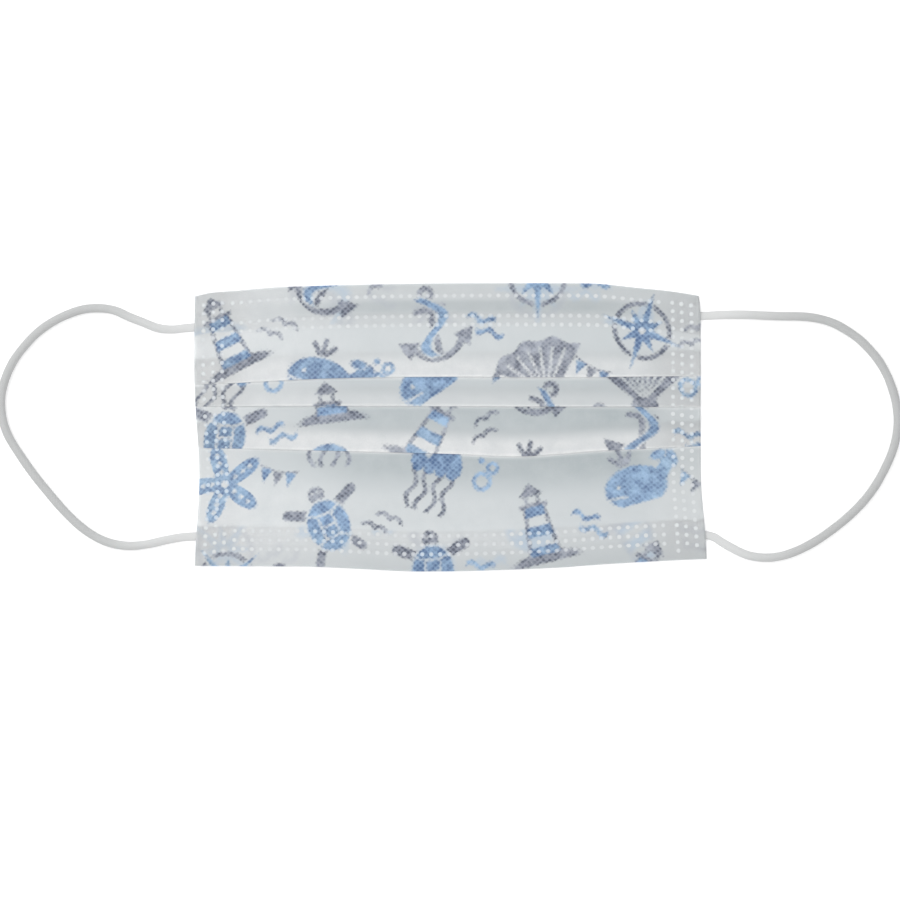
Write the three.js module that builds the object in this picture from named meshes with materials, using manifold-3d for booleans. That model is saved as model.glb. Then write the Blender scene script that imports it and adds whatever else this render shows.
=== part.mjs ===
// A disposable pleated face mask with two elastic ear loops, lying flat with its outer face up.
// Millimetres: +X runs across the mask, +Y towards the nose edge, +Z out of the outer face. The origin is
// the middle of the mask's own outline, on the surface that it lies on.
import * as THREE from "three";
import Module from "manifold-3d";

// Driving dimensions
const BODY_WIDTH = 179.2; // side edge to side edge at the widest
const BODY_HEIGHT = 100.8; // nose edge to chin edge over their crowns
const WALL = 1; // the three plies of the cover together
const GAP = 0.3; // air between two layers, or between a layer and what it covers
const NOSE_HEM = 14; // how far the cover turns back behind the nose edge
const CHIN_HEM = 14; // how far it turns back behind the chin edge
const FIRST_TUCK = 9; // depth that each pleat hides, counted from the nose edge
const SECOND_TUCK = 7;
const THIRD_TUCK = 9;
const HEM_RAMP = 4; // length over which a layer climbs onto the end of a hem
const SIDE_WELD = 10.5; // width of the welded band at each side
const WELD_BITE = 1; // how far the loose layers run into a welded band
const WELD_LIP = 0.05; // how far a band stands over the layers that run into it
const WELD_RISE = 0.1; // height of a welded band's underside
const EDGE_STEP = 0.6; // run of the step that a pleat's edge leaves in a welded band
const WIRE_LENGTH = 100; // nose wire
const WIRE_WIDTH = 4;
const WIRE_THICKNESS = 0.8;
const WIRE_INSET = 8; // nose edge to the middle of the wire
const WIRE_RAMP = 1.6; // length over which the cover climbs over the wire's side
const WIRE_END_RAMP = 6; // and over its end
const LOOP_DIAMETER = 3; // round elastic
const LOOP_END_MARGIN = 2.5; // the side weld's reach past the flat end of a loop, welded to the inner face
const LOOP_END_WIDTH = 4.5;
const LOOP_END_THICKNESS = 0.8;
const LOOP_END_RAMP = 2; // length over which the welded band climbs over a loop's end

// Drop of the nose edge and rise of the chin edge from their crowns, as shares of the body's height.
const EDGES = [
  { across: 0.0, nose: 0.045, chin: 0.018 },
  { across: 0.03, nose: 0.033, chin: 0.018 },
  { across: 0.08, nose: 0.026, chin: 0.0178 },
  { across: 0.16, nose: 0.014, chin: 0.017 },
  { across: 0.22, nose: 0.0105, chin: 0.0165 },
  { across: 0.32, nose: 0.0055, chin: 0.0085 },
  { across: 0.42, nose: 0.002, chin: 0.0 },
  { across: 0.55, nose: 0.0, chin: 0.002 },
  { across: 0.7, nose: 0.0, chin: 0.012 },
  { across: 0.8, nose: 0.002, chin: 0.0245 },
  { across: 0.88, nose: 0.016, chin: 0.033 },
  { across: 0.95, nose: 0.029, chin: 0.039 },
  { across: 1.0, nose: 0.0435, chin: 0.0425 },
];

// Depth of the three pleat edges below the nose edge's crown, as shares of the body's height.
const PLEATS = [
  { across: 0.0, first: 0.3515, second: 0.428, third: 0.572 },
  { across: 0.07, first: 0.348, second: 0.428, third: 0.574 },
  { across: 0.27, first: 0.331, second: 0.427, third: 0.5825 },
  { across: 0.5, first: 0.3255, second: 0.428, third: 0.593 },
  { across: 0.64, first: 0.327, second: 0.429, third: 0.6015 },
  { across: 0.8, first: 0.3265, second: 0.429, third: 0.5825 },
  { across: 1.0, first: 0.322, second: 0.43, third: 0.565 },
];

// Inset of the side edges from the widest place, as shares of the body's width.
const SIDES = [
  { down: 0.0, left: 0.002, right: 0.02 },
  { down: 0.08, left: 0.001, right: 0.013 },
  { down: 0.3, left: 0.0, right: 0.0115 },
  { down: 0.45, left: 0.003, right: 0.012 },
  { down: 0.58, left: 0.008, right: 0.0115 },
  { down: 0.7, left: 0.0095, right: 0.0105 },
  { down: 0.82, left: 0.006, right: 0.005 },
  { down: 0.95, left: 0.0015, right: 0.0 },
  { down: 1.0, left: 0.001, right: 0.0 },
];

// How much of the loose pile's height over one wall is left in a welded band, by share of the band's width.
const WELD_PRESS = [
  { inward: 0.0, kept: 0.3 },
  { inward: 0.43, kept: 0.35 },
  { inward: 0.8, kept: 0.55 },
  { inward: 1.0, kept: 1.0 },
];

// Ends of the ear loops: side of the mask, and inset from the nose or chin line as a share of its height.
const LOOP_ENDS = [
  { name: "loop_end_left_nose", side: -1, up: 1, inset: 0.154 },
  { name: "loop_end_left_chin", side: -1, up: -1, inset: 0.121 },
  { name: "loop_end_right_nose", side: 1, up: 1, inset: 0.114 },
  { name: "loop_end_right_chin", side: 1, up: -1, inset: 0.126 },
];

// Centre lines of the ear loops on the surface, from their nose end to their chin end.
const LOOP_ROUTES = {
  ear_loop_left: [
    [-89.8, 34.9], [-92.6, 34.7], [-97.5, 34.2], [-102.4, 34.7], [-107.3, 36.6], [-112.2, 38.5],
    [-117.4, 40.8], [-122.7, 41.6], [-128.3, 41.2], [-133.9, 39.4], [-139.5, 36.6], [-144.7, 32.8],
    [-149.3, 27.9], [-152.8, 23.1], [-155.4, 17.6], [-156.9, 12.0], [-157.1, 6.7], [-156.2, 1.2],
    [-154.2, -3.8], [-150.7, -9.4], [-146.1, -16.0], [-140.9, -22.5], [-135.3, -29.0], [-129.7, -34.4],
    [-124.1, -38.3], [-118.5, -40.6], [-112.2, -41.5], [-105.9, -40.9], [-99.6, -39.5], [-94.0, -38.5],
    [-89.3, -38.2],
  ],
  ear_loop_right: [
    [87.7, 38.9], [91.5, 39.1], [97.1, 39.3], [103.4, 39.3], [109.7, 39.0], [116.0, 38.8],
    [122.3, 38.7], [127.9, 38.1], [133.5, 36.5], [138.4, 33.9], [142.6, 31.0], [146.5, 27.2],
    [149.8, 23.1], [152.5, 18.4], [154.6, 13.0], [155.9, 7.8], [156.4, 2.5], [155.9, -3.1],
    [154.4, -8.7], [151.9, -14.4], [148.7, -20.2], [144.7, -25.6], [139.5, -30.9], [133.5, -35.8],
    [127.2, -40.1], [120.9, -43.3], [115.3, -45.1], [109.7, -45.6], [104.1, -44.8], [99.1, -42.6],
    [94.9, -40.2], [92.3, -38.5], [90.0, -37.9],
  ],
};

// Fineness of the faceted solids
const FOLD_STEPS = 4;
const LOOP_STEPS = 36;
const LOOP_FACETS = 8;
const END_ARC_STEPS = 6;

// Derived: the middle of the lowest layer, from one layer to the next, the radius of a fold, the length of a
// loop's flat end, and the lines that the outline is measured from.
const LOWEST = WALL / 2;
const PITCH = WALL + GAP;
const BEND = PITCH / 2;
const LOOP_END_LENGTH = SIDE_WELD - LOOP_END_MARGIN;
const NOSE_LINE = BODY_HEIGHT / 2;
const CHIN_LINE = -BODY_HEIGHT / 2;

const materials = {
  cloth: () => new THREE.MeshStandardMaterial({ color: 0xdfe2e3, roughness: 0.92, metalness: 0 }),
  wire: () => new THREE.MeshStandardMaterial({ color: 0xc9cdd0, roughness: 0.6, metalness: 0 }),
  elastic: () => new THREE.MeshStandardMaterial({ color: 0xe6e7e7, roughness: 0.88, metalness: 0 }),
};

// A smooth curve through a column of a table, read at a place along the table's first column.
function along(table, key, place, column) {
  const last = table.length - 1;
  if (place <= table[0][key]) return table[0][column];
  if (place >= table[last][key]) return table[last][column];
  const next = table.findIndex((row) => row[key] > place);
  const slope = (row) => {
    const before = table[Math.max(row - 1, 0)];
    const after = table[Math.min(row + 1, last)];
    return (after[column] - before[column]) / (after[key] - before[key]);
  };
  const from = table[next - 1];
  const to = table[next];
  const span = to[key] - from[key];
  const t = (place - from[key]) / span;
  const rise = to[column] - from[column];
  const bendIn = slope(next - 1) * span - rise;
  const bendOut = rise - slope(next) * span;
  return from[column] + rise * t + t * (1 - t) * ((1 - t) * bendIn + t * bendOut);
}

// Straight from one height to another between two places, and level outside them.
function climb(y, fromY, fromZ, toY, toZ) {
  const t = THREE.MathUtils.clamp((y - fromY) / (toY - fromY), 0, 1);
  return THREE.MathUtils.lerp(fromZ, toZ, t);
}

// Across the mask the side edges are shares 0 and 1, and every line between them follows both.
function placeX(across, y) {
  const down = (NOSE_LINE - y) / BODY_HEIGHT;
  const left = -BODY_WIDTH / 2 + BODY_WIDTH * along(SIDES, "down", down, "left");
  const right = BODY_WIDTH / 2 - BODY_WIDTH * along(SIDES, "down", down, "right");
  return THREE.MathUtils.lerp(left, right, across);
}

// The edges and folds of the cover at one share across, as heights in Y.
function linesAt(across) {
  const pleat = (name) => NOSE_LINE - BODY_HEIGHT * along(PLEATS, "across", across, name);
  const [first, second, third] = ["first", "second", "third"].map(pleat);
  return {
    nose: NOSE_LINE - BODY_HEIGHT * along(EDGES, "across", across, "nose"),
    chin: CHIN_LINE + BODY_HEIGHT * along(EDGES, "across", across, "chin"),
    first,
    firstTuck: first + FIRST_TUCK,
    second,
    secondTuck: second + SECOND_TUCK,
    third,
    thirdTuck: third + THIRD_TUCK,
  };
}

// How far the cover is lifted over the nose wire at one share across.
function wireLift(across) {
  const fromMiddle = Math.abs(across - 0.5) * BODY_WIDTH;
  const end = WIRE_LENGTH / 2 + GAP;
  return climb(fromMiddle, end, WIRE_THICKNESS + GAP, end + WIRE_END_RAMP, 0);
}

// Heights of the middle of the four visible panels. Each panel climbs from the surface onto the pile that
// the next pleat makes, which is the next panel with two layers over it.
function panelHeights(across) {
  const line = linesAt(across);
  const top = LOWEST + 2 * PITCH;
  const lift = wireLift(across);
  const wire = line.nose - WIRE_INSET;
  const halfWire = WIRE_WIDTH / 2 + GAP;
  const chinPanel = (y) => {
    const hemEnd = line.chin + CHIN_HEM + GAP;
    return climb(y, hemEnd + HEM_RAMP, LOWEST, hemEnd, LOWEST + PITCH);
  };
  const thirdPanel = (y) => (y >= line.thirdTuck
    ? climb(y, line.secondTuck, LOWEST, line.thirdTuck, top)
    : chinPanel(y) + 2 * PITCH);
  const secondPanel = (y) => (y >= line.secondTuck
    ? climb(y, line.firstTuck, LOWEST, line.secondTuck, top)
    : thirdPanel(y) + 2 * PITCH);
  const nosePanel = (y) => {
    if (y < line.firstTuck) return secondPanel(y) + 2 * PITCH;
    const overWire = climb(Math.abs(y - wire), halfWire, lift, halfWire + WIRE_RAMP, 0);
    return climb(y, line.nose - NOSE_HEM, LOWEST + PITCH, line.firstTuck, top) + overWire;
  };
  return { nosePanel, secondPanel, thirdPanel, chinPanel };
}

// A run of the cover's middle line over the given places, at the heights that a function gives.
function run(places, height) {
  return places.map((y) => new THREE.Vector2(y, height(y)));
}

// The half circle of a fold, from one layer to the next; it bulges towards +Y or -Y.
function fold(from, to, bulge) {
  const middle = from.clone().add(to).multiplyScalar(0.5);
  const radius = from.distanceTo(to) / 2;
  const turn = Math.sign(to.y - from.y);
  const points = [];
  for (let step = 1; step < FOLD_STEPS; step += 1) {
    const angle = (Math.PI * step) / FOLD_STEPS;
    points.push(new THREE.Vector2(
      middle.x + bulge * radius * Math.sin(angle),
      middle.y - turn * radius * Math.cos(angle),
    ));
  }
  return points;
}

// Middle line of the whole cover at one share across, in the plane of Y and Z, from the free end of the
// hem behind the nose edge, over the front and through the pleats, to the free end of the chin hem.
function middleLine(across) {
  const line = linesAt(across);
  const panel = panelHeights(across);
  const level = () => LOWEST;
  const over = (height) => (y) => height(y) + PITCH;
  const turn = WALL / 2 + BEND;
  const wire = line.nose - WIRE_INSET;
  const halfWire = WIRE_WIDTH / 2 + GAP;
  const middleOf = (a, b) => (a + b) / 2;
  const runs = [
    run([line.nose - NOSE_HEM, line.nose - turn], level),
    run([
      line.nose - turn, wire + halfWire + WIRE_RAMP, wire + halfWire, wire - halfWire,
      wire - halfWire - WIRE_RAMP, line.nose - NOSE_HEM, line.firstTuck, line.first + turn,
    ], panel.nosePanel),
    run([line.first + turn, line.firstTuck - turn], over(panel.secondPanel)),
    run([line.firstTuck - turn, line.first, line.secondTuck, line.second + turn], panel.secondPanel),
    run([line.second + turn, line.secondTuck - turn], over(panel.thirdPanel)),
    run([
      line.secondTuck - turn, line.second, middleOf(line.second, line.thirdTuck), line.thirdTuck,
      line.third + turn,
    ], panel.thirdPanel),
    run([line.third + turn, line.thirdTuck - turn], over(panel.chinPanel)),
    run([
      line.thirdTuck - turn, line.third, middleOf(line.third, line.chin + CHIN_HEM),
      line.chin + CHIN_HEM + GAP + HEM_RAMP, line.chin + CHIN_HEM + GAP, line.chin + turn,
    ], panel.chinPanel),
    run([line.chin + turn, line.chin + CHIN_HEM], level),
  ];
  const points = [...runs[0]];
  runs.slice(1).forEach((next, index) => {
    const bulge = index % 2 === 0 ? 1 : -1;
    points.push(...fold(points[points.length - 1], next[0], bulge), ...next);
  });
  return points;
}

// Both faces of a wall round a middle line.
function wallFaces(points) {
  const outer = [];
  const inner = [];
  points.forEach((point, index) => {
    const before = points[Math.max(index - 1, 0)];
    const after = points[Math.min(index + 1, points.length - 1)];
    const tangent = after.clone().sub(before).normalize();
    const out = new THREE.Vector2(tangent.y, -tangent.x).multiplyScalar(WALL / 2);
    outer.push(point.clone().add(out));
    inner.push(point.clone().sub(out));
  });
  return { outer, inner };
}

// A closed solid between two faces: each station across holds an outer and an inner row of points in
// Y and Z, with the nose end first, and the stations go from left to right.
function closedSheet(stations) {
  const ringOf = ({ across, outer, inner }) => [...outer, ...inner.slice().reverse()]
    .map((point) => new THREE.Vector3(placeX(across, point.x), point.x, point.y));
  const rings = stations.map(ringOf);
  const count = rings[0].length;
  const positions = rings.flat().flatMap((point) => point.toArray());
  const index = [];
  const quad = (a, b, c, d) => index.push(a, b, c, a, c, d);
  for (let station = 0; station < rings.length - 1; station += 1) {
    const here = station * count;
    const there = here + count;
    for (let k = 0; k < count; k += 1) {
      const next = (k + 1) % count;
      quad(here + k, here + next, there + next, there + k);
    }
  }
  const lastRing = (rings.length - 1) * count;
  for (let k = 0; k < count / 2 - 1; k += 1) {
    const across = count - 1 - k;
    quad(k + 1, k, across, across - 1);
    quad(lastRing + k, lastRing + k + 1, lastRing + across - 1, lastRing + across);
  }
  const geometry = new THREE.BufferGeometry();
  geometry.setAttribute("position", new THREE.Float32BufferAttribute(positions, 3));
  geometry.setIndex(index);
  return geometry;
}

// Shares across at which the loose layers are drawn: close to the welds, round the wire's ends, and the
// rows of the edge table between them.
function looseShares() {
  const start = (SIDE_WELD + WELD_BITE / 4) / BODY_WIDTH;
  const wireEnd = 0.5 - (WIRE_LENGTH / 2 + GAP) / BODY_WIDTH;
  const wireFoot = wireEnd - WIRE_END_RAMP / BODY_WIDTH;
  const fixed = [start, wireFoot, wireEnd, 1 - wireEnd, 1 - wireFoot, 1 - start];
  const closest = 0.5 * (wireEnd - wireFoot);
  const free = EDGES.map((row) => row.across)
    .filter((share) => share > start && share < 1 - start)
    .filter((share) => fixed.every((place) => Math.abs(place - share) > closest));
  return [...fixed, ...free].sort((a, b) => a - b);
}

function looseCover() {
  return closedSheet(looseShares().map((across) => ({ across, ...wallFaces(middleLine(across)) })));
}

// Y of a loop's end on the mask.
function loopEndY(end) {
  return end.up * (NOSE_LINE - end.inset * BODY_HEIGHT);
}

// A welded side band: the pile of layers pressed into one, thinnest at the side edge. Its underside is
// raised over the two loop ends that are welded beneath it.
function weldedBand(side) {
  const ends = LOOP_ENDS.filter((end) => end.side === side);
  const [noseEnd, chinEnd] = [1, -1].map((up) => loopEndY(ends.find((end) => end.up === up)));
  const halfEnd = LOOP_END_WIDTH / 2 + GAP;
  const endRows = (y) => [y + halfEnd + LOOP_END_RAMP, y + halfEnd, y - halfEnd, y - halfEnd - LOOP_END_RAMP];
  const underside = (y, inward) => {
    const fromEnd = Math.min(Math.abs(y - noseEnd), Math.abs(y - chinEnd));
    const raised = inward <= LOOP_END_LENGTH + GAP ? LOOP_END_THICKNESS + GAP : WELD_RISE;
    return climb(fromEnd, halfEnd, raised, halfEnd + LOOP_END_RAMP, WELD_RISE);
  };
  const station = (inward) => {
    const share = inward / BODY_WIDTH;
    const across = side < 0 ? share : 1 - share;
    const line = linesAt(across);
    const panel = panelHeights(across);
    const kept = along(WELD_PRESS, "inward", inward / SIDE_WELD, "kept");
    const above = (edge) => edge - WELD_LIP;
    const below = (edge) => edge - WELD_LIP - EDGE_STEP;
    const rows = [
      { height: panel.nosePanel, places: [line.nose + WELD_LIP, ...endRows(noseEnd)] },
      { height: panel.nosePanel, places: [line.firstTuck, above(line.first)] },
      { height: panel.secondPanel, places: [below(line.first), line.secondTuck, above(line.second)] },
      { height: panel.thirdPanel, places: [below(line.second), line.thirdTuck, above(line.third)] },
      { height: panel.chinPanel, places: [below(line.third), ...endRows(chinEnd), line.chin - WELD_LIP] },
    ];
    const outer = [];
    const inner = [];
    rows.forEach(({ height, places }) => places.forEach((y) => {
      const pile = height(y) + WALL / 2 + WELD_LIP;
      const bottom = underside(y, inward);
      const pressed = bottom + WALL + kept * (pile - WALL - bottom);
      outer.push(new THREE.Vector2(y, Math.max(pressed, bottom + WALL)));
      inner.push(new THREE.Vector2(y, bottom));
    }));
    return { across, outer, inner };
  };
  const stations = [
    0, WELD_PRESS[1].inward * SIDE_WELD, LOOP_END_LENGTH + GAP, SIDE_WELD, SIDE_WELD + WELD_BITE,
  ].map(station);
  return closedSheet(side < 0 ? stations : stations.reverse());
}

// The nose wire lies between the nose hem and the front, and follows the nose edge.
function noseWire() {
  const bottom = WALL + GAP;
  const half = WIRE_LENGTH / 2 / BODY_WIDTH;
  const inside = EDGES.map((row) => row.across).filter((share) => Math.abs(share - 0.5) < half);
  const shares = [0.5 - half, ...inside, 0.5 + half];
  return closedSheet(shares.map((across) => {
    const middle = linesAt(across).nose - WIRE_INSET;
    const places = [middle + WIRE_WIDTH / 2, middle - WIRE_WIDTH / 2];
    return {
      across,
      outer: places.map((y) => new THREE.Vector2(y, bottom + WIRE_THICKNESS)),
      inner: places.map((y) => new THREE.Vector2(y, bottom)),
    };
  }));
}

// The flat end of a loop: square at the side edge, where the cord leaves it, and round inside.
function loopEnd(end) {
  const half = LOOP_END_WIDTH / 2;
  const straight = LOOP_END_LENGTH - half;
  const outline = new THREE.Shape();
  outline.moveTo(0, -half);
  outline.lineTo(straight, -half);
  outline.absarc(straight, 0, half, -Math.PI / 2, Math.PI / 2, false);
  outline.lineTo(0, half);
  outline.closePath();
  const geometry = new THREE.ExtrudeGeometry(outline, {
    depth: LOOP_END_THICKNESS,
    bevelEnabled: false,
    curveSegments: END_ARC_STEPS,
  });
  if (end.side > 0) geometry.rotateZ(Math.PI);
  const mesh = new THREE.Mesh(geometry, materials.elastic());
  mesh.name = end.name;
  const y = loopEndY(end);
  mesh.position.set(placeX(end.side < 0 ? 0 : 1, y), y, 0);
  return mesh;
}

function earLoop(name) {
  const radius = LOOP_DIAMETER / 2;
  const points = LOOP_ROUTES[name].map(([x, y]) => new THREE.Vector3(x, y, radius));
  const section = new THREE.Shape();
  for (let corner = 0; corner < LOOP_FACETS; corner += 1) {
    const angle = (2 * Math.PI * (corner + 0.5)) / LOOP_FACETS;
    const [x, y] = [radius * Math.cos(angle), radius * Math.sin(angle)];
    if (corner === 0) section.moveTo(x, y);
    else section.lineTo(x, y);
  }
  section.closePath();
  const geometry = new THREE.ExtrudeGeometry(section, {
    steps: LOOP_STEPS,
    bevelEnabled: false,
    extrudePath: new THREE.CatmullRomCurve3(points),
  });
  const mesh = new THREE.Mesh(geometry, materials.elastic());
  mesh.name = name;
  return mesh;
}

const wasm = await Module();
wasm.setup();

function solidOf(geometry) {
  return new wasm.Manifold(new wasm.Mesh({
    numProp: 3,
    vertProperties: new Float32Array(geometry.attributes.position.array),
    triVerts: new Uint32Array(geometry.index.array),
  }));
}

function geometryOf(solid) {
  const mesh = solid.getMesh();
  const geometry = new THREE.BufferGeometry();
  geometry.setAttribute("position", new THREE.BufferAttribute(new Float32Array(mesh.vertProperties), 3));
  geometry.setIndex(new THREE.BufferAttribute(new Uint32Array(mesh.triVerts), 1));
  geometry.computeVertexNormals();
  return geometry;
}

// The cover is one piece: loose layers in the middle, fused into one by the weld at each side.
function pleatedCover() {
  const joined = solidOf(looseCover())
    .add(solidOf(weldedBand(-1)))
    .add(solidOf(weldedBand(1)));
  const mesh = new THREE.Mesh(geometryOf(joined), materials.cloth());
  mesh.name = "pleated_cover";
  return mesh;
}

const group = new THREE.Group();
group.add(pleatedCover());
const wire = new THREE.Mesh(noseWire(), materials.wire());
wire.name = "nose_wire";
group.add(wire);
LOOP_ENDS.forEach((end) => group.add(loopEnd(end)));
Object.keys(LOOP_ROUTES).forEach((name) => group.add(earLoop(name)));

export default group;
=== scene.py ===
# %% [markdown]
# # A pleated face mask, lying flat
# A disposable face mask is three plies of nonwoven cloth that are folded into pleats, turned back at the
# nose and chin edges, and fused at both sides by an ultrasonic welder. This lesson dresses a plain solid
# model of one. The cover could be sculpted, or simulated as falling cloth, but its folds are set by a
# machine, so here one sheet is bent by the same rules as the machine's. Every point of it also knows
# where it lay on the flat cloth, and the print and the fibres follow the folds for that reason.

# %% Load the plain model
import math
import random

import bmesh
import bpy
import numpy as np
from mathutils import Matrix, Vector, noise
from mathutils.bvhtree import BVHTree


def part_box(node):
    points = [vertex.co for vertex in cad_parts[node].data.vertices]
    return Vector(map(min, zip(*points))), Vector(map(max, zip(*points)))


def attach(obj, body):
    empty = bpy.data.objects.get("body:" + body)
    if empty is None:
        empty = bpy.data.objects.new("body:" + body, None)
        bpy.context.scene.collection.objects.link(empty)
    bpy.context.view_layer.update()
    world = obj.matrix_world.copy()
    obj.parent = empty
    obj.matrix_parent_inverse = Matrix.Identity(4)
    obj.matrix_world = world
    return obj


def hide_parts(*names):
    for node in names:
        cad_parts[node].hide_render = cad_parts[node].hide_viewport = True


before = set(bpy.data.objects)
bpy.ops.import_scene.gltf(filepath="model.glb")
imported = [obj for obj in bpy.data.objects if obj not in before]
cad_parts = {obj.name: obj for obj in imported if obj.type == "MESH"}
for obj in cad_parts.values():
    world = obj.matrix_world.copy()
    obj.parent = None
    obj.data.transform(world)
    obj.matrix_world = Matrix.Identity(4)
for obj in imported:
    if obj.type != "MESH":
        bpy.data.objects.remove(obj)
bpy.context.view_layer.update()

# %% [markdown]
# ## The view
# The photograph looks straight down, and its frame spans 315 mm of the table. A long lens far away keeps
# the edges parallel as they are there. One pixel of its 900 is 0.35 mm, which places the camera over the
# frame's centre.

# %% Camera
MM = 0.001
PHOTO_PIXELS = 900
PIXEL = 0.35 * MM
MASK_CENTRE_PX = (450.5, 427.25)
CAMERA_HEIGHT = 1.3

scene = bpy.context.scene
camera = bpy.data.objects.new("camera", bpy.data.cameras.new("camera"))
scene.collection.objects.link(camera)
scene.camera = camera
camera.data.sensor_width = 36.0
camera.data.lens = camera.data.sensor_width * CAMERA_HEIGHT / (PHOTO_PIXELS * PIXEL)
camera.location = (
    (PHOTO_PIXELS / 2 - MASK_CENTRE_PX[0]) * PIXEL,
    (MASK_CENTRE_PX[1] - PHOTO_PIXELS / 2) * PIXEL,
    CAMERA_HEIGHT,
)
print("lens", round(camera.data.lens, 1), "mm")

# %% [markdown]
# ## Helpers for colour and nodes
# Colours are written as they look on a screen, in sRGB hex, and one function turns them linear. One more
# function adds any shader node, with its settings and its input values or links. Three short ones start a
# material, turn a bmesh into a mesh, and put a mesh or a lamp into the scene.


# %% Colour and nodes
def linear(hex_colour, alpha=1.0):
    channels = [int(hex_colour[i:i + 2], 16) / 255 for i in (1, 3, 5)]
    return [c / 12.92 if c <= 0.04045 else ((c + 0.055) / 1.055) ** 2.4 for c in channels] + [alpha]


def add(tree, kind, inputs=None, **settings):
    """Adds a node to a tree; an input is given a value, or linked if it gets another node's socket."""
    node = tree.nodes.new(kind)
    for name, value in settings.items():
        setattr(node, name, value)
    for name, value in (inputs or {}).items():
        if isinstance(value, bpy.types.NodeSocket):
            tree.links.new(value, node.inputs[name])
        else:
            node.inputs[name].default_value = value
    return node


def new_material(name):
    """An empty node material with its Principled shader, ready to be given its nodes."""
    material = bpy.data.materials.new(name)
    material.use_nodes = True
    tree = material.node_tree
    return material, tree, tree.nodes["Principled BSDF"]


def finished_mesh(name, shape):
    """Turns a bmesh into a mesh, and frees the bmesh."""
    mesh = bpy.data.meshes.new(name)
    shape.to_mesh(mesh)
    shape.free()
    return mesh


def new_object(name, data):
    """Puts a mesh or a lamp into the scene as an object."""
    thing = bpy.data.objects.new(name, data)
    scene.collection.objects.link(thing)
    return thing


print("screen grey #808080 in linear light:", round(linear("#808080")[0], 3))

# %% [markdown]
# ## Table and light
# The mask lies on a white sheet, as in a catalogue picture. The light is soft and comes mostly from
# above, with a broad window beyond the nose edge to the left: each pleat's lip catches it and shades the
# panel below.

# %% Table and light
FLOOR_SIDE = 3.0
LIGHTS = {
    # name: place, size and power
    "window": ((-0.75, 0.55, 0.85), 1.0, 6.0),
    "ceiling": ((0.0, -0.1, 1.4), 1.8, 9.0),
}
SKY_STRENGTH = 0.58
PAPER_GLOW = 0.2

shape = bmesh.new()
bmesh.ops.create_grid(shape, x_segments=1, y_segments=1, size=FLOOR_SIDE / 2)
floor = new_object("table_top", finished_mesh("table_top", shape))
paper, _, paper_shader = new_material("matt_white_paper")
paper_shader.inputs["Base Color"].default_value = linear("#FBFBFB")
paper_shader.inputs["Roughness"].default_value = 0.95
paper_shader.inputs["Specular IOR Level"].default_value = 0.1
paper_shader.inputs["Emission Color"].default_value = linear("#FFFFFF")
paper_shader.inputs["Emission Strength"].default_value = PAPER_GLOW
floor.data.materials.append(paper)

for name, (place, size, power) in LIGHTS.items():
    lamp = bpy.data.lights.new(name, "AREA")
    lamp.size = size
    lamp.energy = power
    lamp_object = new_object(name, lamp)
    lamp_object.location = place
    lamp_object.rotation_euler = (-Vector(place)).to_track_quat("-Z", "Y").to_euler()

world = bpy.data.worlds.new("studio")
world.use_nodes = True
world.node_tree.nodes["Background"].inputs["Color"].default_value = linear("#FFFFFF")
world.node_tree.nodes["Background"].inputs["Strength"].default_value = SKY_STRENGTH
scene.world = world
scene.view_settings.view_transform = "Standard"
print("lights:", ", ".join(LIGHTS))

# %% [markdown]
# ## Where the folds are
# The outline and the pleats are short tables of shares of the mask's width and height, read off as smooth
# curves. The width and height come from the plain model, so the cloth can't drift away from it.

# %% Outline and folds
cover_low, cover_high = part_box("pleated_cover")
BODY_WIDTH = cover_high.x - cover_low.x
BODY_HEIGHT = cover_high.y - cover_low.y
NOSE_LINE = cover_high.y
NOSE_HEM = 14 * MM
CHIN_HEM = 14 * MM
TUCKS = {"first": 9 * MM, "second": 7 * MM, "third": 9 * MM}

EDGES = {
    "across": [0, 0.03, 0.08, 0.16, 0.22, 0.32, 0.42, 0.55, 0.7, 0.8, 0.88, 0.95, 1],
    "nose": [0.045, 0.033, 0.026, 0.014, 0.0105, 0.0055, 0.002, 0, 0, 0.002, 0.016, 0.029, 0.0435],
    "chin": [0.018, 0.018, 0.0178, 0.017, 0.0165, 0.0085, 0, 0.002, 0.012, 0.0245, 0.033, 0.039, 0.0425],
}
PLEATS = {
    "across": [0, 0.07, 0.27, 0.5, 0.64, 0.8, 1],
    "first": [0.3515, 0.348, 0.331, 0.3255, 0.327, 0.3265, 0.322],
    "second": [0.428, 0.428, 0.427, 0.428, 0.429, 0.429, 0.43],
    "third": [0.572, 0.574, 0.5825, 0.593, 0.6015, 0.5825, 0.565],
}
SIDES = {
    "down": [0, 0.08, 0.3, 0.45, 0.58, 0.7, 0.82, 0.95, 1],
    "left": [0.002, 0.001, 0, 0.003, 0.008, 0.0095, 0.006, 0.0015, 0.001],
    "right": [0.02, 0.013, 0.0115, 0.012, 0.0115, 0.0105, 0.005, 0, 0],
}


def along(table, key, column, place):
    """A smooth curve through a column of a table, read at places along its first column."""
    knots, values = np.array(table[key], float), np.array(table[column], float)
    before, after = np.r_[0, 0:len(knots) - 1], np.r_[1:len(knots), len(knots) - 1]
    slopes = (values[after] - values[before]) / (knots[after] - knots[before])
    place = np.clip(place, knots[0], knots[-1])
    row = np.clip(np.searchsorted(knots, place, side="right") - 1, 0, len(knots) - 2)
    span, rise = knots[row + 1] - knots[row], values[row + 1] - values[row]
    t = (place - knots[row]) / span
    bend_in, bend_out = slopes[row] * span - rise, rise - slopes[row + 1] * span
    return values[row] + rise * t + t * (1 - t) * ((1 - t) * bend_in + t * bend_out)


def ease(place, start, end, low=0.0, high=1.0):
    """From low to high between two places, leaving and arriving level."""
    t = np.clip((place - start) / (end - start), 0, 1)
    return low + (high - low) * t * t * (3 - 2 * t)


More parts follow.
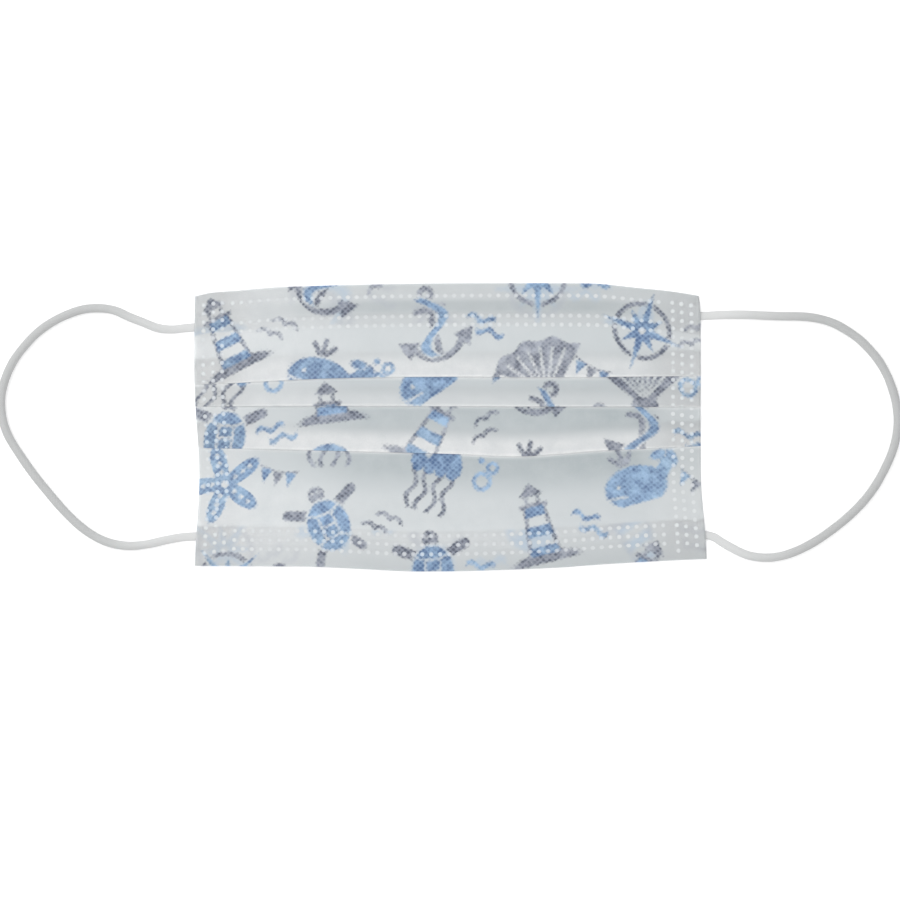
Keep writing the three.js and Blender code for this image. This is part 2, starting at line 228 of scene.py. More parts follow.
def side_edges(y):
    down = (NOSE_LINE - y) / BODY_HEIGHT
    left = -BODY_WIDTH / 2 + BODY_WIDTH * along(SIDES, "down", "left", down)
    right = BODY_WIDTH / 2 - BODY_WIDTH * along(SIDES, "down", "right", down)
    return left, right


def lines_at(across):
    """Edges, pleat edges and the hidden ends of the tucks, as heights in Y."""
    lines = {name: NOSE_LINE - BODY_HEIGHT * along(PLEATS, "across", name, across) for name in TUCKS}
    lines.update({name + "_tuck": lines[name] + depth for name, depth in TUCKS.items()})
    lines["nose"] = NOSE_LINE - BODY_HEIGHT * along(EDGES, "across", "nose", across)
    lines["chin"] = NOSE_LINE - BODY_HEIGHT * (1 - along(EDGES, "across", "chin", across))
    return lines


middle = lines_at(0.5)
print("pleat edges at", [round(float(middle[name]) / MM, 1) for name in TUCKS], "mm")

# %% [markdown]
# ## How high each layer lies
# In the middle the layers of a pleat stand a little apart, as springy cloth does. At the sides the welder
# has pressed them to half their thickness, so both the cloth and the distance from layer to layer shrink
# there. Each panel starts on the table under the pleat above it and climbs onto the pile of the pleat
# below, like shingles on a roof. Its lip springs up a little more, because a fold never lies quite flat.

# %% Sizes of the layers
CLOTH = 0.36 * MM
TABLE_GAP = 0.03 * MM
PRESSED_SHARE = 0.5
LOOSE_PITCH = 0.5 * MM
PRESSED_PITCH = 0.21 * MM
WELD_WIDTH = 10.5 * MM
WELD_BORDER = 1 * MM
WELD_EASE = 16 * MM
HEM_RAMP = 4 * MM
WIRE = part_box("nose_wire")
WIRE_LENGTH = WIRE[1].x - WIRE[0].x
WIRE_INSET = 8 * MM
WIRE_HALF = 1.9 * MM
WIRE_THICKNESS = 0.45 * MM
WIRE_LIFT = 0.42 * MM
WIRE_RAMP = 1.8 * MM
WIRE_END_RAMP = 8 * WIRE_RAMP
LIP_SPRING = 0.2 * MM
LIP_REACH = 8 * MM
NOSE_ROWS = [4.3 * MM, 11.4 * MM, 14.5 * MM]
CHIN_ROWS = [6.0 * MM, 9.2 * MM, 12.4 * MM]
GROOVE_DEPTH = 0.12 * MM
GROOVE_HALF = 1.1 * MM
print("cloth", round(CLOTH / MM, 2), "mm thick, wire", round(WIRE_LENGTH / MM, 1), "mm long")


# %% Pressed and loose places
def looseness(across, low=0.0, high=1.0):
    """Low in the welded sides and high in the middle."""
    from_side = np.minimum(across, 1 - across) * BODY_WIDTH
    return ease(from_side, WELD_WIDTH - WELD_BORDER, WELD_WIDTH + WELD_EASE, low, high)


def layer_pitch(across):
    return looseness(across, PRESSED_PITCH, LOOSE_PITCH)


def lowest(across):
    return CLOTH / 2 * looseness(across, PRESSED_SHARE, 1) + TABLE_GAP


def spring(across, y, lip):
    near = np.clip(1 - (y - lip) / LIP_REACH, 0, 1)
    return LIP_SPRING * looseness(across) * near * near


def groove(across, y, edge, rows):
    """How much the rows of weld points pull the cloth down, along lines at insets from an edge."""
    depth = sum(ease(np.abs(y - edge - inset), 0, GROOVE_HALF, 1, 0) for inset in rows)
    return GROOVE_DEPTH * looseness(across) * depth


print("layers", round(float(layer_pitch(0.5)) / MM, 2), "mm apart in the middle")


# %% Height of each panel
def chin_panel(across, y):
    chin, low = lines_at(across)["chin"], lowest(across)
    climb = ease(y, chin + CHIN_HEM + HEM_RAMP, chin + CHIN_HEM, 0, layer_pitch(across))
    return low + climb - groove(across, y, chin, CHIN_ROWS)


def third_panel(across, y):
    lines, rise, low = lines_at(across), 2 * layer_pitch(across), lowest(across)
    climbing = ease(y, lines["second_tuck"], lines["third_tuck"], low, low + rise)
    base = np.where(y >= lines["third_tuck"], climbing, chin_panel(across, y) + rise)
    return base + spring(across, y, lines["third"])


def second_panel(across, y):
    lines, rise, low = lines_at(across), 2 * layer_pitch(across), lowest(across)
    climbing = ease(y, lines["first_tuck"], lines["second_tuck"], low, low + rise)
    base = np.where(y >= lines["second_tuck"], climbing, third_panel(across, y) + rise)
    return base + spring(across, y, lines["second"])


def nose_panel(across, y):
    lines, pitch, low = lines_at(across), layer_pitch(across), lowest(across)
    from_wire_end = np.abs(across - 0.5) * BODY_WIDTH - WIRE_LENGTH / 2
    lift = ease(from_wire_end, 0, WIRE_END_RAMP, WIRE_LIFT, 0)
    from_wire = np.abs(y - lines["nose"] + WIRE_INSET)
    over_wire = lift * ease(from_wire, WIRE_HALF, WIRE_HALF + WIRE_RAMP, 1, 0)
    climbing = ease(y, lines["nose"] - NOSE_HEM, lines["first_tuck"], low + pitch, low + 2 * pitch)
    climbing = climbing + over_wire - groove(across, y, lines["nose"], [-inset for inset in NOSE_ROWS])
    base = np.where(y >= lines["first_tuck"], climbing, second_panel(across, y) + 2 * pitch)
    return base + spring(across, y, lines["first"])


print("height of the first pleat's lip:", round(float(nose_panel(0.5, middle["first"])) / MM, 2), "mm")

# %% [markdown]
# ## Drape
# Cloth that has been handled is never quite flat. A few broad swells lift all its layers together, so no
# layer meets another, and the four corners rise over the flat ends of the ear loops that are welded
# beneath them.

# %% Drape
LOOP_ENDS = {
    # node name and its side: -1 is left
    "loop_end_left_nose": -1,
    "loop_end_left_chin": -1,
    "loop_end_right_nose": 1,
    "loop_end_right_chin": 1,
}
SWELLS = [
    # length and height of each kind
    (34 * MM, 0.32 * MM),
    (11 * MM, 0.08 * MM),
]
SWELL_SHARE = 0.6
CORNER_EASE = 4 * MM
CORD_EDGE = 0.8 * MM
PAD = 0.4 * MM
PAD_TAPER = 4 * MM
PAD_BORDER = 0.3 * MM
PAD_GAP = 0.06 * MM


def pad_height(from_edge):
    """Thickness of a loop's end: still a cord at the mask's edge, a flat pad a little further in."""
    return ease(from_edge, 0, PAD_TAPER, CORD_EDGE, PAD)


def drape(x, y):
    """Lift of the cloth at each place, in metres, never below nothing."""
    flat_x, flat_y = np.broadcast_arrays(x, y)
    lift = np.zeros(flat_x.shape)
    for wave, height in SWELLS:
        swell = np.array([
            noise.noise(Vector((px / wave, py / (SWELL_SHARE * wave), wave / MM)))
            for px, py in zip(flat_x.ravel(), flat_y.ravel())
        ]).reshape(flat_x.shape)
        lift += height * np.clip(0.5 + 0.8 * swell, 0, 1)
    for node, side in LOOP_ENDS.items():
        low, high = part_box(node)
        outside = np.hypot(
            np.maximum(np.maximum(low.x - flat_x, flat_x - high.x), 0),
            np.maximum(np.maximum(low.y - flat_y, flat_y - high.y), 0),
        )
        from_edge = flat_x - low.x if side < 0 else high.x - flat_x
        raised = ease(outside, PAD_BORDER, CORNER_EASE, 1, 0) * (pad_height(from_edge) + PAD_GAP)
        lift = np.maximum(lift, raised)
    return lift


print("lift in the middle of the mask:", round(float(drape(0.0, 0.0)) / MM, 2), "mm")

# %% [markdown]
# ## The sheet, from end to end
# The cloth's middle line runs from the free end of the nose hem, over the front and through three pleats,
# to the free end of the chin hem. Straight runs alternate with half circles. Rows of points lie close
# together where they show and where the cloth turns, and far apart where it is hidden.

# %% Runs and folds
STATIONS = 200
TURN_ROWS = 7
HIDDEN_TURN_ROWS = 5


def run(across, start, end, rows, height):
    """Rows of points from one place in Y to another, at the heights that a function gives."""
    share = np.linspace(0, 1, rows)
    y = start[:, None] + (end - start)[:, None] * share
    return np.stack([y, height(across[:, None], y)], axis=-1)


def fold(before, after, bulge, rows):
    """The half circle between two layers, without its ends."""
    start, end = before[:, -1], after[:, 0]
    centre, radius = (start + end) / 2, np.linalg.norm(end - start, axis=-1) / 2
    angle = np.pi * np.arange(1, rows + 1) / (rows + 1)
    turn = np.sign(end[:, 1] - start[:, 1])
    y = centre[:, :1] + bulge * radius[:, None] * np.sin(angle)
    z = centre[:, 1:] - (turn * radius)[:, None] * np.cos(angle)
    return np.stack([y, z], axis=-1)


print("rows in each turn that shows:", TURN_ROWS)


# %% Middle line of the cloth
def middle_line(across):
    """(station, row, (y, z)) of the whole sheet, and the row of the nose edge's crest."""
    lines, pitch = lines_at(across), layer_pitch(across)
    back = CLOTH / 2 * looseness(across, PRESSED_SHARE, 1) + pitch / 2
    lip_back = back + LIP_SPRING * looseness(across) / 4

    def resting(a, y):
        return np.broadcast_to(lowest(a), np.broadcast(a, y).shape)

    def returning(name, panel):
        return lambda a, y: panel(a, y) + layer_pitch(a) + spring(a, y, lines_at(a)[name]) / 2

    def tuck(name, panel, rows):
        return run(across, lines[name] + lip_back, lines[name + "_tuck"] - back, rows, returning(name, panel))

    def panel_run(name, panel, hidden_rows, end, rows):
        hidden = run(across, lines[name + "_tuck"] - back, lines[name], hidden_rows, panel)
        return np.concatenate([hidden, run(across, lines[name], end, rows, panel)[:, 1:]], axis=1)

    runs = [
        run(across, lines["nose"] - NOSE_HEM, lines["nose"] - back, 8, resting),
        run(across, lines["nose"] - back, lines["first"] + lip_back, 50, nose_panel),
        tuck("first", second_panel, 6),
        panel_run("first", second_panel, 7, lines["second"] + lip_back, 15),
        tuck("second", third_panel, 5),
        panel_run("second", third_panel, 6, lines["third"] + lip_back, 21),
        tuck("third", chin_panel, 6),
        panel_run("third", chin_panel, 7, lines["chin"] + back, 57),
        run(across, lines["chin"] + back, lines["chin"] + CHIN_HEM, 8, resting),
    ]
    pieces = [runs[0]]
    for number, (before, after) in enumerate(zip(runs, runs[1:])):
        bulge = 1 if number % 2 == 0 else -1
        hidden = number in (2, 4, 6)
        pieces += [fold(before, after, bulge, HIDDEN_TURN_ROWS if hidden else TURN_ROWS), after]
    return np.concatenate(pieces, axis=1), runs[0].shape[1] + TURN_ROWS // 2


print("points from hem to hem:", middle_line(np.array([0.5]))[0].shape[1])

# %% The sheet, flat and folded
across = np.linspace(0, 1, STATIONS + 1)
line, crest_row = middle_line(across)
steps = np.linalg.norm(np.diff(line, axis=1), axis=-1)
length = np.concatenate([np.zeros((len(across), 1)), np.cumsum(steps, axis=1)], axis=1)
flat_down = length - length[:, crest_row:crest_row + 1]
left, right = side_edges(line[..., 0])
sheet_x = left + (right - left) * across[:, None]
sheet_y = line[..., 0]
sheet_z = line[..., 1] + drape(sheet_x, sheet_y)
ROWS = line.shape[1]

# %% [markdown]
# ## The print
# The mask carries a small print in pale blue and slate. It is made here of plain seaside figures, each
# drawn as a distance field: a number at every point of the cloth that says how far the figure's edge is,
# negative inside. Such a number survives coarse spacing, because it changes evenly between two points and
# its edge stays sharp. The figures sit on a half-drop layout, the usual one for cloth, and they are laid
# out on the flat sheet before it is folded, so the pleats cut through them.


# %% Shapes to draw with
def disc(x, y, cx, cy, r):
    return np.hypot(x - cx, y - cy) - r


def ring(x, y, cx, cy, r, half):
    return np.abs(np.hypot(x - cx, y - cy) - r) - half


def stroke(x, y, ax, ay, bx, by, half):
    dx, dy = bx - ax, by - ay
    t = np.clip(((x - ax) * dx + (y - ay) * dy) / (dx * dx + dy * dy), 0, 1)
    return np.hypot(x - ax - t * dx, y - ay - t * dy) - half


def oval(x, y, cx, cy, rx, ry):
    return (np.hypot((x - cx) / rx, (y - cy) / ry) - 1) * min(rx, ry)


def polygon(x, y, corners):
    """Distance to a closed outline of corners."""
    distance = np.full(x.shape, np.inf)
    inside = np.zeros(x.shape, bool)
    for (ax, ay), (bx, by) in zip(corners, corners[1:] + corners[:1]):
        distance = np.minimum(distance, stroke(x, y, ax, ay, bx, by, 0))
        crosses = (ay > y) != (by > y)
        rise = by - ay if by != ay else 1.0
        inside ^= crosses & (x < (bx - ax) * (y - ay) / rise + ax)
    return np.where(inside, -distance, distance)


def join(*shapes):
    return np.minimum.reduce(shapes)


def cut(shape, *holes):
    return np.maximum.reduce([shape, *[-hole for hole in holes]])


print("distance from the middle of a disc to its edge:", disc(0, 0, 0, 0, 1))


# %% Anchor, starfish and scallop, each in a box from -1 to 1
def anchor(x, y):
    arms = np.maximum(ring(x, y, 0, -0.12, 0.68, 0.075), y + 0.3)
    flukes = [polygon(x, y, [(s * 0.93, -0.22), (s * 0.42, -0.32), (s * 0.74, -0.68)]) for s in (-1, 1)]
    iron = join(
        ring(x, y, 0, 0.8, 0.14, 0.06), stroke(x, y, 0, 0.66, 0, -0.78, 0.075),
        stroke(x, y, -0.34, 0.42, 0.34, 0.42, 0.06), arms, *flukes,
    )
    rope = np.maximum(np.abs(x - 0.3 * np.sin(4.5 * y + 0.6)) * 0.65 - 0.07, np.abs(y) - 0.72)
    return {"slate": cut(iron, rope - 0.05), "blue": rope}


def starfish(x, y):
    turn = np.arctan2(x, y)
    body = (np.hypot(x, y) - 0.62 - 0.34 * np.cos(5 * turn)) * 0.62
    spots = [
        disc(x, y, r * math.sin(a), r * math.cos(a), 0.055)
        for a in np.arange(5) * 2 * math.pi / 5 for r in (0.3, 0.52, 0.72)
    ]
    return {"blue": cut(body, disc(x, y, 0, 0, 0.09), *spots)}


def scallop(x, y):
    turn = np.arctan2(x, y + 0.75)
    edge = np.hypot(x, y + 0.75) - 1.55 - 0.05 * np.cos(14 * turn)
    fan = np.maximum(edge, (np.abs(turn) - 0.88) * np.hypot(x, y + 0.75) * 0.9)
    ribs = [stroke(x, y, 0, -0.55, 1.35 * math.sin(a), -0.75 + 1.35 * math.cos(a), 0.035)
            for a in (-0.67, -0.45, -0.22, 0, 0.22, 0.45, 0.67)]
    hinge = polygon(x, y, [(-0.36, -0.8), (0.36, -0.8), (0.26, -0.5), (-0.26, -0.5)])
    return {"slate": join(cut(fan, *ribs), hinge)}


# %% Compass and lighthouse
def compass(x, y):
    corners = []
    for point in range(16):
        reach = {0: 1.0, 2: 0.56}.get(point % 4, 0.24)
        angle = 2 * math.pi * point / 16
        corners.append((reach * math.sin(angle), reach * math.cos(angle)))
    star = polygon(x, y, corners)
    rim = ring(x, y, 0, 0, 0.66, 0.05)
    return {"blue": cut(star, disc(x, y, 0, 0, 0.09)), "slate": cut(rim, star - 0.05)}


def lighthouse(x, y):
    tower = polygon(x, y, [(-0.36, -0.78), (0.36, -0.78), (0.22, 0.4), (-0.22, 0.4)])
    band = np.abs(np.mod(y + 0.95, 0.5) - 0.25) - 0.125
    lamp = polygon(x, y, [(-0.15, 0.46), (0.15, 0.46), (0.15, 0.7), (-0.15, 0.7)])
    roof = polygon(x, y, [(-0.28, 0.7), (0.28, 0.7), (0, 0.98)])
    gallery = stroke(x, y, -0.3, 0.43, 0.3, 0.43, 0.05)
    rock = np.maximum(oval(x, y, 0, -0.95, 0.8, 0.24), -(y + 0.98))
    outlines = [np.abs(tower) - 0.04, np.abs(lamp) - 0.035]
    return {"blue": np.maximum(tower, band), "slate": join(gallery, roof, rock, *outlines)}


# %% Turtle, whale and jellyfish
def turtle(x, y):
    shell = oval(x, y, 0, 0, 0.5, 0.62)
    seams = [stroke(x, y, s * 0.18, -0.3, s * 0.18, 0.3, 0.03) for s in (-1, 1)]
    seams += [stroke(x, y, -0.18, t * 0.3, 0.18, t * 0.3, 0.03) for t in (-1, 0, 1)]
    seams += [stroke(x, y, s * 0.18, t * 0.3, s * 0.46, t * 0.42, 0.03) for s in (-1, 1) for t in (-1, 1)]
    limbs = [stroke(x, y, s * 0.36, 0.4, s * 0.82, 0.62, 0.12) for s in (-1, 1)]
    limbs += [stroke(x, y, s * 0.34, -0.46, s * 0.56, -0.78, 0.1) for s in (-1, 1)]
    head = cut(oval(x, y, 0, 0.8, 0.19, 0.2), disc(x, y, 0.07, 0.86, 0.04), disc(x, y, -0.07, 0.86, 0.04))
    return {"slate": cut(join(*limbs, head), shell - 0.06), "blue": cut(shell, *seams)}


def whale(x, y):
    body = np.maximum(oval(x, y, -0.2, -0.12, 0.78, 0.5), -(y + 0.5))
    tail = join(
        stroke(x, y, 0.35, -0.15, 0.74, 0.22, 0.15),
        oval(x, y, 0.62, 0.46, 0.2, 0.11),
        oval(x, y, 0.9, 0.3, 0.13, 0.2),
    )
    mouth = stroke(x, y, -0.95, -0.24, -0.5, -0.28, 0.03)
    spout = []
    for s in (-1, 0, 1):
        higher = 1 - abs(s)
        foot = (-0.3 + s * 0.08, 0.46 + 0.04 * higher)
        top = (-0.3 + s * 0.26, 0.68 + 0.12 * higher)
        spout.append(stroke(x, y, *foot, *top, 0.055))
    return {"blue": cut(join(body, tail), mouth, disc(x, y, -0.62, -0.02, 0.055)), "slate": join(*spout)}


def jellyfish(x, y):
    dome = np.maximum(oval(x, y, 0, 0.25, 0.62, 0.6), -(y - 0.12))
    arms = [
        np.maximum(np.abs(x - s - 0.07 * np.sin(9 * y + 5 * s)) - 0.05, np.abs(y + 0.42) - 0.5)
        for s in (-0.42, -0.15, 0.15, 0.42)
    ]
    frill = [disc(x, y, s, 0.12, 0.13) for s in (-0.42, -0.14, 0.14, 0.42)]
    return {"blue": cut(join(dome, *frill), oval(x, y, -0.25, 0.5, 0.08, 0.14)), "slate": join(*arms)}


# %% Small figures for the gaps
def waves(x, y):
    strokes = [
        np.maximum(np.abs(y - level - 0.14 * np.sin(6 * x)) * 0.8 - 0.1, np.abs(x + level) - 0.75)
        for level in (-0.3, 0.3)
    ]
    return {"blue": join(*strokes)}


def gulls(x, y):
    wings = [
        np.maximum(ring(x, y, cx + s * 0.34, cy - 0.16, 0.36, 0.085), cy - 0.06 - y)
        for cx, cy in ((-0.25, -0.35), (0.3, 0.4)) for s in (-1, 1)
    ]
    return {"slate": join(*wings)}


def pennants(x, y):
    flags = {"blue": [], "slate": []}
    for number, centre in enumerate((-0.66, 0, 0.66)):
        top = 0.35 + 0.2 * centre * centre
        corners = [(centre - 0.27, top), (centre + 0.27, top), (centre, top - 0.75)]
        flags["slate" if number == 1 else "blue"].append(polygon(x, y, corners))
    line_above = np.maximum(np.abs(y - 0.38 - 0.2 * x * x) - 0.035, np.abs(x) - 1)
    return {"blue": join(*flags["blue"]), "slate": join(line_above, *flags["slate"])}


def bubbles(x, y):
    rings = [ring(x, y, -0.3, -0.3, 0.42, 0.1), ring(x, y, 0.45, 0.2, 0.26, 0.09)]
    return {"blue": join(*rings, disc(x, y, 0, 0.75, 0.16))}


FIGURES = [anchor, starfish, lighthouse, scallop, turtle, whale, compass, jellyfish]
FILLERS = [waves, pennants, gulls, bubbles]
print("figures:", ", ".join(figure.__name__ for figure in FIGURES + FILLERS))

# %% Layout of the print on the flat cloth, in millimetres
COLUMN = 36.5
DROP = 34.0
FIGURE_SIZE = 14.5
FILLER_SIZE = 6.6
TURNS = [0.25, -0.5, 0.1, 0.4, -0.15, 0.6, -0.3, 0.0, -0.4]
LAYOUT_SHIFT = (-6.0, 15.0)
DEPTHS = [0.3, 0.9, 0.55, 0.2, 0.75, 0.4, 1.0]
FAR = 40.0
STAMP_REACH = 1.6
PRINT_COLUMNS, PRINT_ROWS = range(-4, 5), range(-2, 7)
HEM_EDGE = 0.6


def draw_print(u, s):
    """Distances to the nearest blue and slate figure, in millimetres, and how deep the ink is there."""
    inks = {"blue": np.full(u.shape, FAR), "slate": np.full(u.shape, FAR), "depth": np.full(u.shape, 0.5)}

    def stamp(figure, cu, cs, turn, size, depth):
        near = (np.abs(u - cu) < STAMP_REACH * size) & (np.abs(s - cs) < STAMP_REACH * size)
        du, ds = (u[near] - cu) / size, (cs - s[near]) / size
        x = du * math.cos(turn) + ds * math.sin(turn)
        y = ds * math.cos(turn) - du * math.sin(turn)
        for ink, shape in figure(x, y).items():
            inks[ink][near] = np.minimum(inks[ink][near], shape * size)
            inks["depth"][near] = np.where(shape * size < 1, depth, inks["depth"][near])

    for column in PRINT_COLUMNS:
        for row in PRINT_ROWS:
            cu = LAYOUT_SHIFT[0] + column * COLUMN
            cs = LAYOUT_SHIFT[1] + (row + 0.5 * (column % 2)) * DROP
            number = 3 * column + 5 * row
            turn = TURNS[number % len(TURNS)]
            depth = DEPTHS[number % len(DEPTHS)]
            stamp(FIGURES[number % len(FIGURES)], cu, cs, turn, FIGURE_SIZE, depth)
            filler = FILLERS[(column + row) % len(FILLERS)]
            stamp(filler, cu + 0.5 * COLUMN, cs, -turn, FILLER_SIZE, 1 - depth)
    return inks


flat_u, flat_s = sheet_x / MM, flat_down / MM
nose_hem_end = NOSE_HEM / MM
chin_crest = flat_s[:, -1:] - CHIN_HEM / MM
chin_hem_end = chin_crest - CHIN_HEM / MM


def hem_mask(blur):
    """1 on the hems and 0 between them, with a border of a given half width."""
    nose_share = ease(flat_s, nose_hem_end - blur, nose_hem_end + blur, 1, 0)
    chin_share = ease(flat_s, chin_hem_end - blur, chin_hem_end + blur, 0, 1)
    return np.maximum(nose_share, chin_share)


inks = draw_print(flat_u, flat_s)
mirrored = np.where(flat_s < chin_crest / 2, -flat_s, 2 * chin_crest - flat_s)
behind = draw_print(flat_u, mirrored)
hem_share = hem_mask(HEM_EDGE)
print("share of the cloth with ink:", round(float((np.minimum(inks["blue"], inks["slate"]) < 0).mean()), 2))

# %% [markdown]
# ## Plies that lie behind, and painted shade
# The cloth lets some light through. Where a pleat's two hidden layers lie behind it, or the white table
# touches it, that light comes back and the cloth looks whiter, and over the wire it looks a little greyer.
# Just below a lip the cloth is single and hangs free, and it is greyer there with painted shade of the lip
# above. Each lip's pale edge is a painted highlight, and the chin hem's grey towards its crest is painted
# shade. How much whiter the cloth is over each tuck is set panel by panel, partly for the plies and
# partly as painted light and shade. All this is fainter in the pressed sides, and the mask's left end is
# painted a little lighter and its right end a little darker. One number for each point says how much
# greyer the cloth is: low where the stack is thick or a highlight is painted, and high where it is thin
# or shade is painted.

# %% Thin places and painted shade
RESTING, HEMMED, WIRED = 0.66, 0.74, 1.3
# greyer single cloth below the nose hem's end, and painted shade below each pleat's lip, cast by the lip
# above
HANGING_AND_SHADE = {"nose": 0.75, "first": 1.1, "second": 1.5, "third": 1.55}
HANGING_AND_SHADE_REACH = (3 * MM, 18 * MM)
# painted highlight along each lip's edge, where its contact shadow falls
LIP_PAINTED_HIGHLIGHT = 0.95
HIGHLIGHT_INSET, HIGHLIGHT_CORE, HIGHLIGHT_END = 0.1 * MM, 0.3 * MM, 0.9 * MM
# whiter cloth over each tuck's plies, by amounts set panel by panel: partly the real plies, partly painted
# light and shade
PILED_AND_SHADED = {"first": 0.05, "second": 0.55, "third": -0.1}
PILE_BORDER = 5.5 * MM
SEEN_FROM = 0.01 * MM
HEM_BLUR = 3.0
# painted shade on the chin hem, deeper towards its crest
CHIN_HEM_PAINTED_SHADE = (0.45, 0.95)
WIRE_TONE_HALF = (1 * MM, 3.4 * MM)
WIRE_TONE_ENDS = (-1 * MM, 25 * MM, 1, 0.3)
PRESSED_CONTRAST = 0.55
MIDDLE_TONE = 0.5
# painted light falling off across the mask: darker towards the right end, lighter at the left end
RIGHT_PAINTED_SHADE = (0 * MM, 60 * MM, MIDDLE_TONE, 0.66)
LEFT_PAINTED_LIGHT = (-62 * MM, -25 * MM, 0.6, 1)
lines = {name: value[:, None] for name, value in lines_at(across).items()}
# thinness of the plies; painted shade and painted highlights are added to it below
thin = np.full(sheet_y.shape, RESTING)
# painted shade below each lip, fading over the reach
for upper in ("nose", *TUCKS):
    below = lines[upper] - sheet_y - (NOSE_HEM if upper == "nose" else 0)
    hanging_and_shade = ease(below, *HANGING_AND_SHADE_REACH, HANGING_AND_SHADE[upper], RESTING)
    thin = np.where(below > 0, hanging_and_shade, thin)
# plies behind each panel, with painted light and shade set panel by panel
for name, piled_and_shaded_value in PILED_AND_SHADED.items():
    tuck_end = lines[name + "_tuck"]
    piled = ease(sheet_y, tuck_end, tuck_end - PILE_BORDER) * (sheet_y > lines[name] - SEEN_FROM)
    thin = np.where(sheet_y < tuck_end, thin + (piled_and_shaded_value - thin) * piled, thin)
# painted shade on the chin hem, deeper towards its crest
chin_hem_shade = ease(flat_s, chin_hem_end, chin_crest, *CHIN_HEM_PAINTED_SHADE)
hemmed = np.where(flat_s < chin_crest / 2, HEMMED, chin_hem_shade)
thin = thin + (hemmed - thin) * hem_mask(HEM_BLUR)
# painted highlight along each lip's edge
for name in TUCKS:
    below = lines[name] - sheet_y
    thin = thin - LIP_PAINTED_HIGHLIGHT * ease(np.abs(below - HIGHLIGHT_INSET), HIGHLIGHT_END, HIGHLIGHT_CORE)
from_end = np.abs(sheet_x) - WIRE_LENGTH / 2
over_wire = ease(np.abs(sheet_y - lines["nose"] + WIRE_INSET), *WIRE_TONE_HALF, 1, 0)
thin = thin + (WIRED - thin) * over_wire * ease(from_end, *WIRE_TONE_ENDS)
contrast = looseness(across[:, None], PRESSED_CONTRAST, 1)
# painted shade towards the right end and painted light at the left end
thin = ease(sheet_x, *RIGHT_PAINTED_SHADE) + (thin - MIDDLE_TONE) * contrast
thin *= ease(sheet_x, *LEFT_PAINTED_LIGHT)
print("thinness from", round(float(thin.min()), 2), "to", round(float(thin.max()), 2))

# %% [markdown]
# ## From grid to cloth
# A plain grid has one vertex for each place on the flat cloth. Moving the vertices folds it. The place on
# the flat cloth goes into the UV map, in centimetres, and the distances to the print go into attributes
# of the vertices. Solidify then gives the sheet its thickness, with the plain inner ply on one side. A
# group of vertices says how loose each place is, and the sheet is half as thick where the sides are
# welded.

# %% Cover
ATTRIBUTES = {
    "blue_ink": inks["blue"], "slate_ink": inks["slate"], "ink_depth": inks["depth"],
    "blue_behind": behind["blue"], "slate_behind": behind["slate"], "hem": hem_share, "thin": thin,
}


def grid_place(vertex):
    station = round((vertex.co.x + 1) / 2 * STATIONS)
    row = round((1 - vertex.co.y) / 2 * (ROWS - 1))
    return station, row


shape = bmesh.new()
bmesh.ops.create_grid(shape, x_segments=STATIONS, y_segments=ROWS - 1, size=1)
uv_layer = shape.loops.layers.uv.new("flat_cloth")
layers = {name: shape.verts.layers.float.new(name) for name in ATTRIBUTES}
places = {vertex: grid_place(vertex) for vertex in shape.verts}
for face in shape.faces:
    for loop in face.loops:
        place = places[loop.vert]
        loop[uv_layer].uv = (flat_u[place] / 10, flat_s[place] / 10)
for vertex, place in places.items():
    vertex.co = (sheet_x[place], sheet_y[place], sheet_z[place])
    for name, values in ATTRIBUTES.items():
        vertex[layers[name]] = values[place]
for face in shape.faces:
    face.smooth = True
cover_mesh = finished_mesh("mask_cover", shape)
cover = new_object("mask_cover", cover_mesh)

# %% Thickness of the cover
loose = cover.vertex_groups.new(name="loose")
from_middle = np.array([abs(vertex.co.x) for vertex in cover_mesh.vertices])
weights = looseness(0.5 + from_middle / BODY_WIDTH)
for index, weight in enumerate(weights):
    loose.add([index], float(weight), "REPLACE")
wall = cover.modifiers.new("plies", "SOLIDIFY")
wall.thickness = CLOTH
wall.vertex_group = loose.name
wall.thickness_vertex_group = PRESSED_SHARE
wall.offset = 0
wall.use_even_offset = False
wall.material_offset = 1
wall.material_offset_rim = 1
print("cover:", len(cover_mesh.vertices), "vertices")

# %% [markdown]
# ## Spunbonded cloth and its print
# The plies are spunbonded polypropylene: endless threads 0.02 mm thick are laid at random and melted
# together at points 1.4 mm apart in a staggered net. That gives a soft, matt, slightly cloudy white with
# a faint net of dimples. The threads are too fine to show at this distance, so they are drawn about
# twenty times as coarse. The ink takes darkest at the bond points and unevenly from patch to patch, and
# it frays along the threads at a figure's edge, which is why the print looks dotted and soft.

# %% Colours and net of bond points
BOND_PITCH = 0.21
BOND_SQUEEZE = 0.88
BOND_SPREAD = 0.5
BOND_UNEVENNESS = 0.8
CLOTH_WHITE, CLOTH_CLOUD = "#E6E8E9", "#D2D6D8"
# grey of a single ply, also used for painted shade
CLOTH_THIN_AND_SHADED = "#C5CACC"
BLUE, BLUE_DEEP = "#A3BFDB", "#3A5986"
SLATE, SLATE_DEEP = "#AFB4BF", "#555C6E"


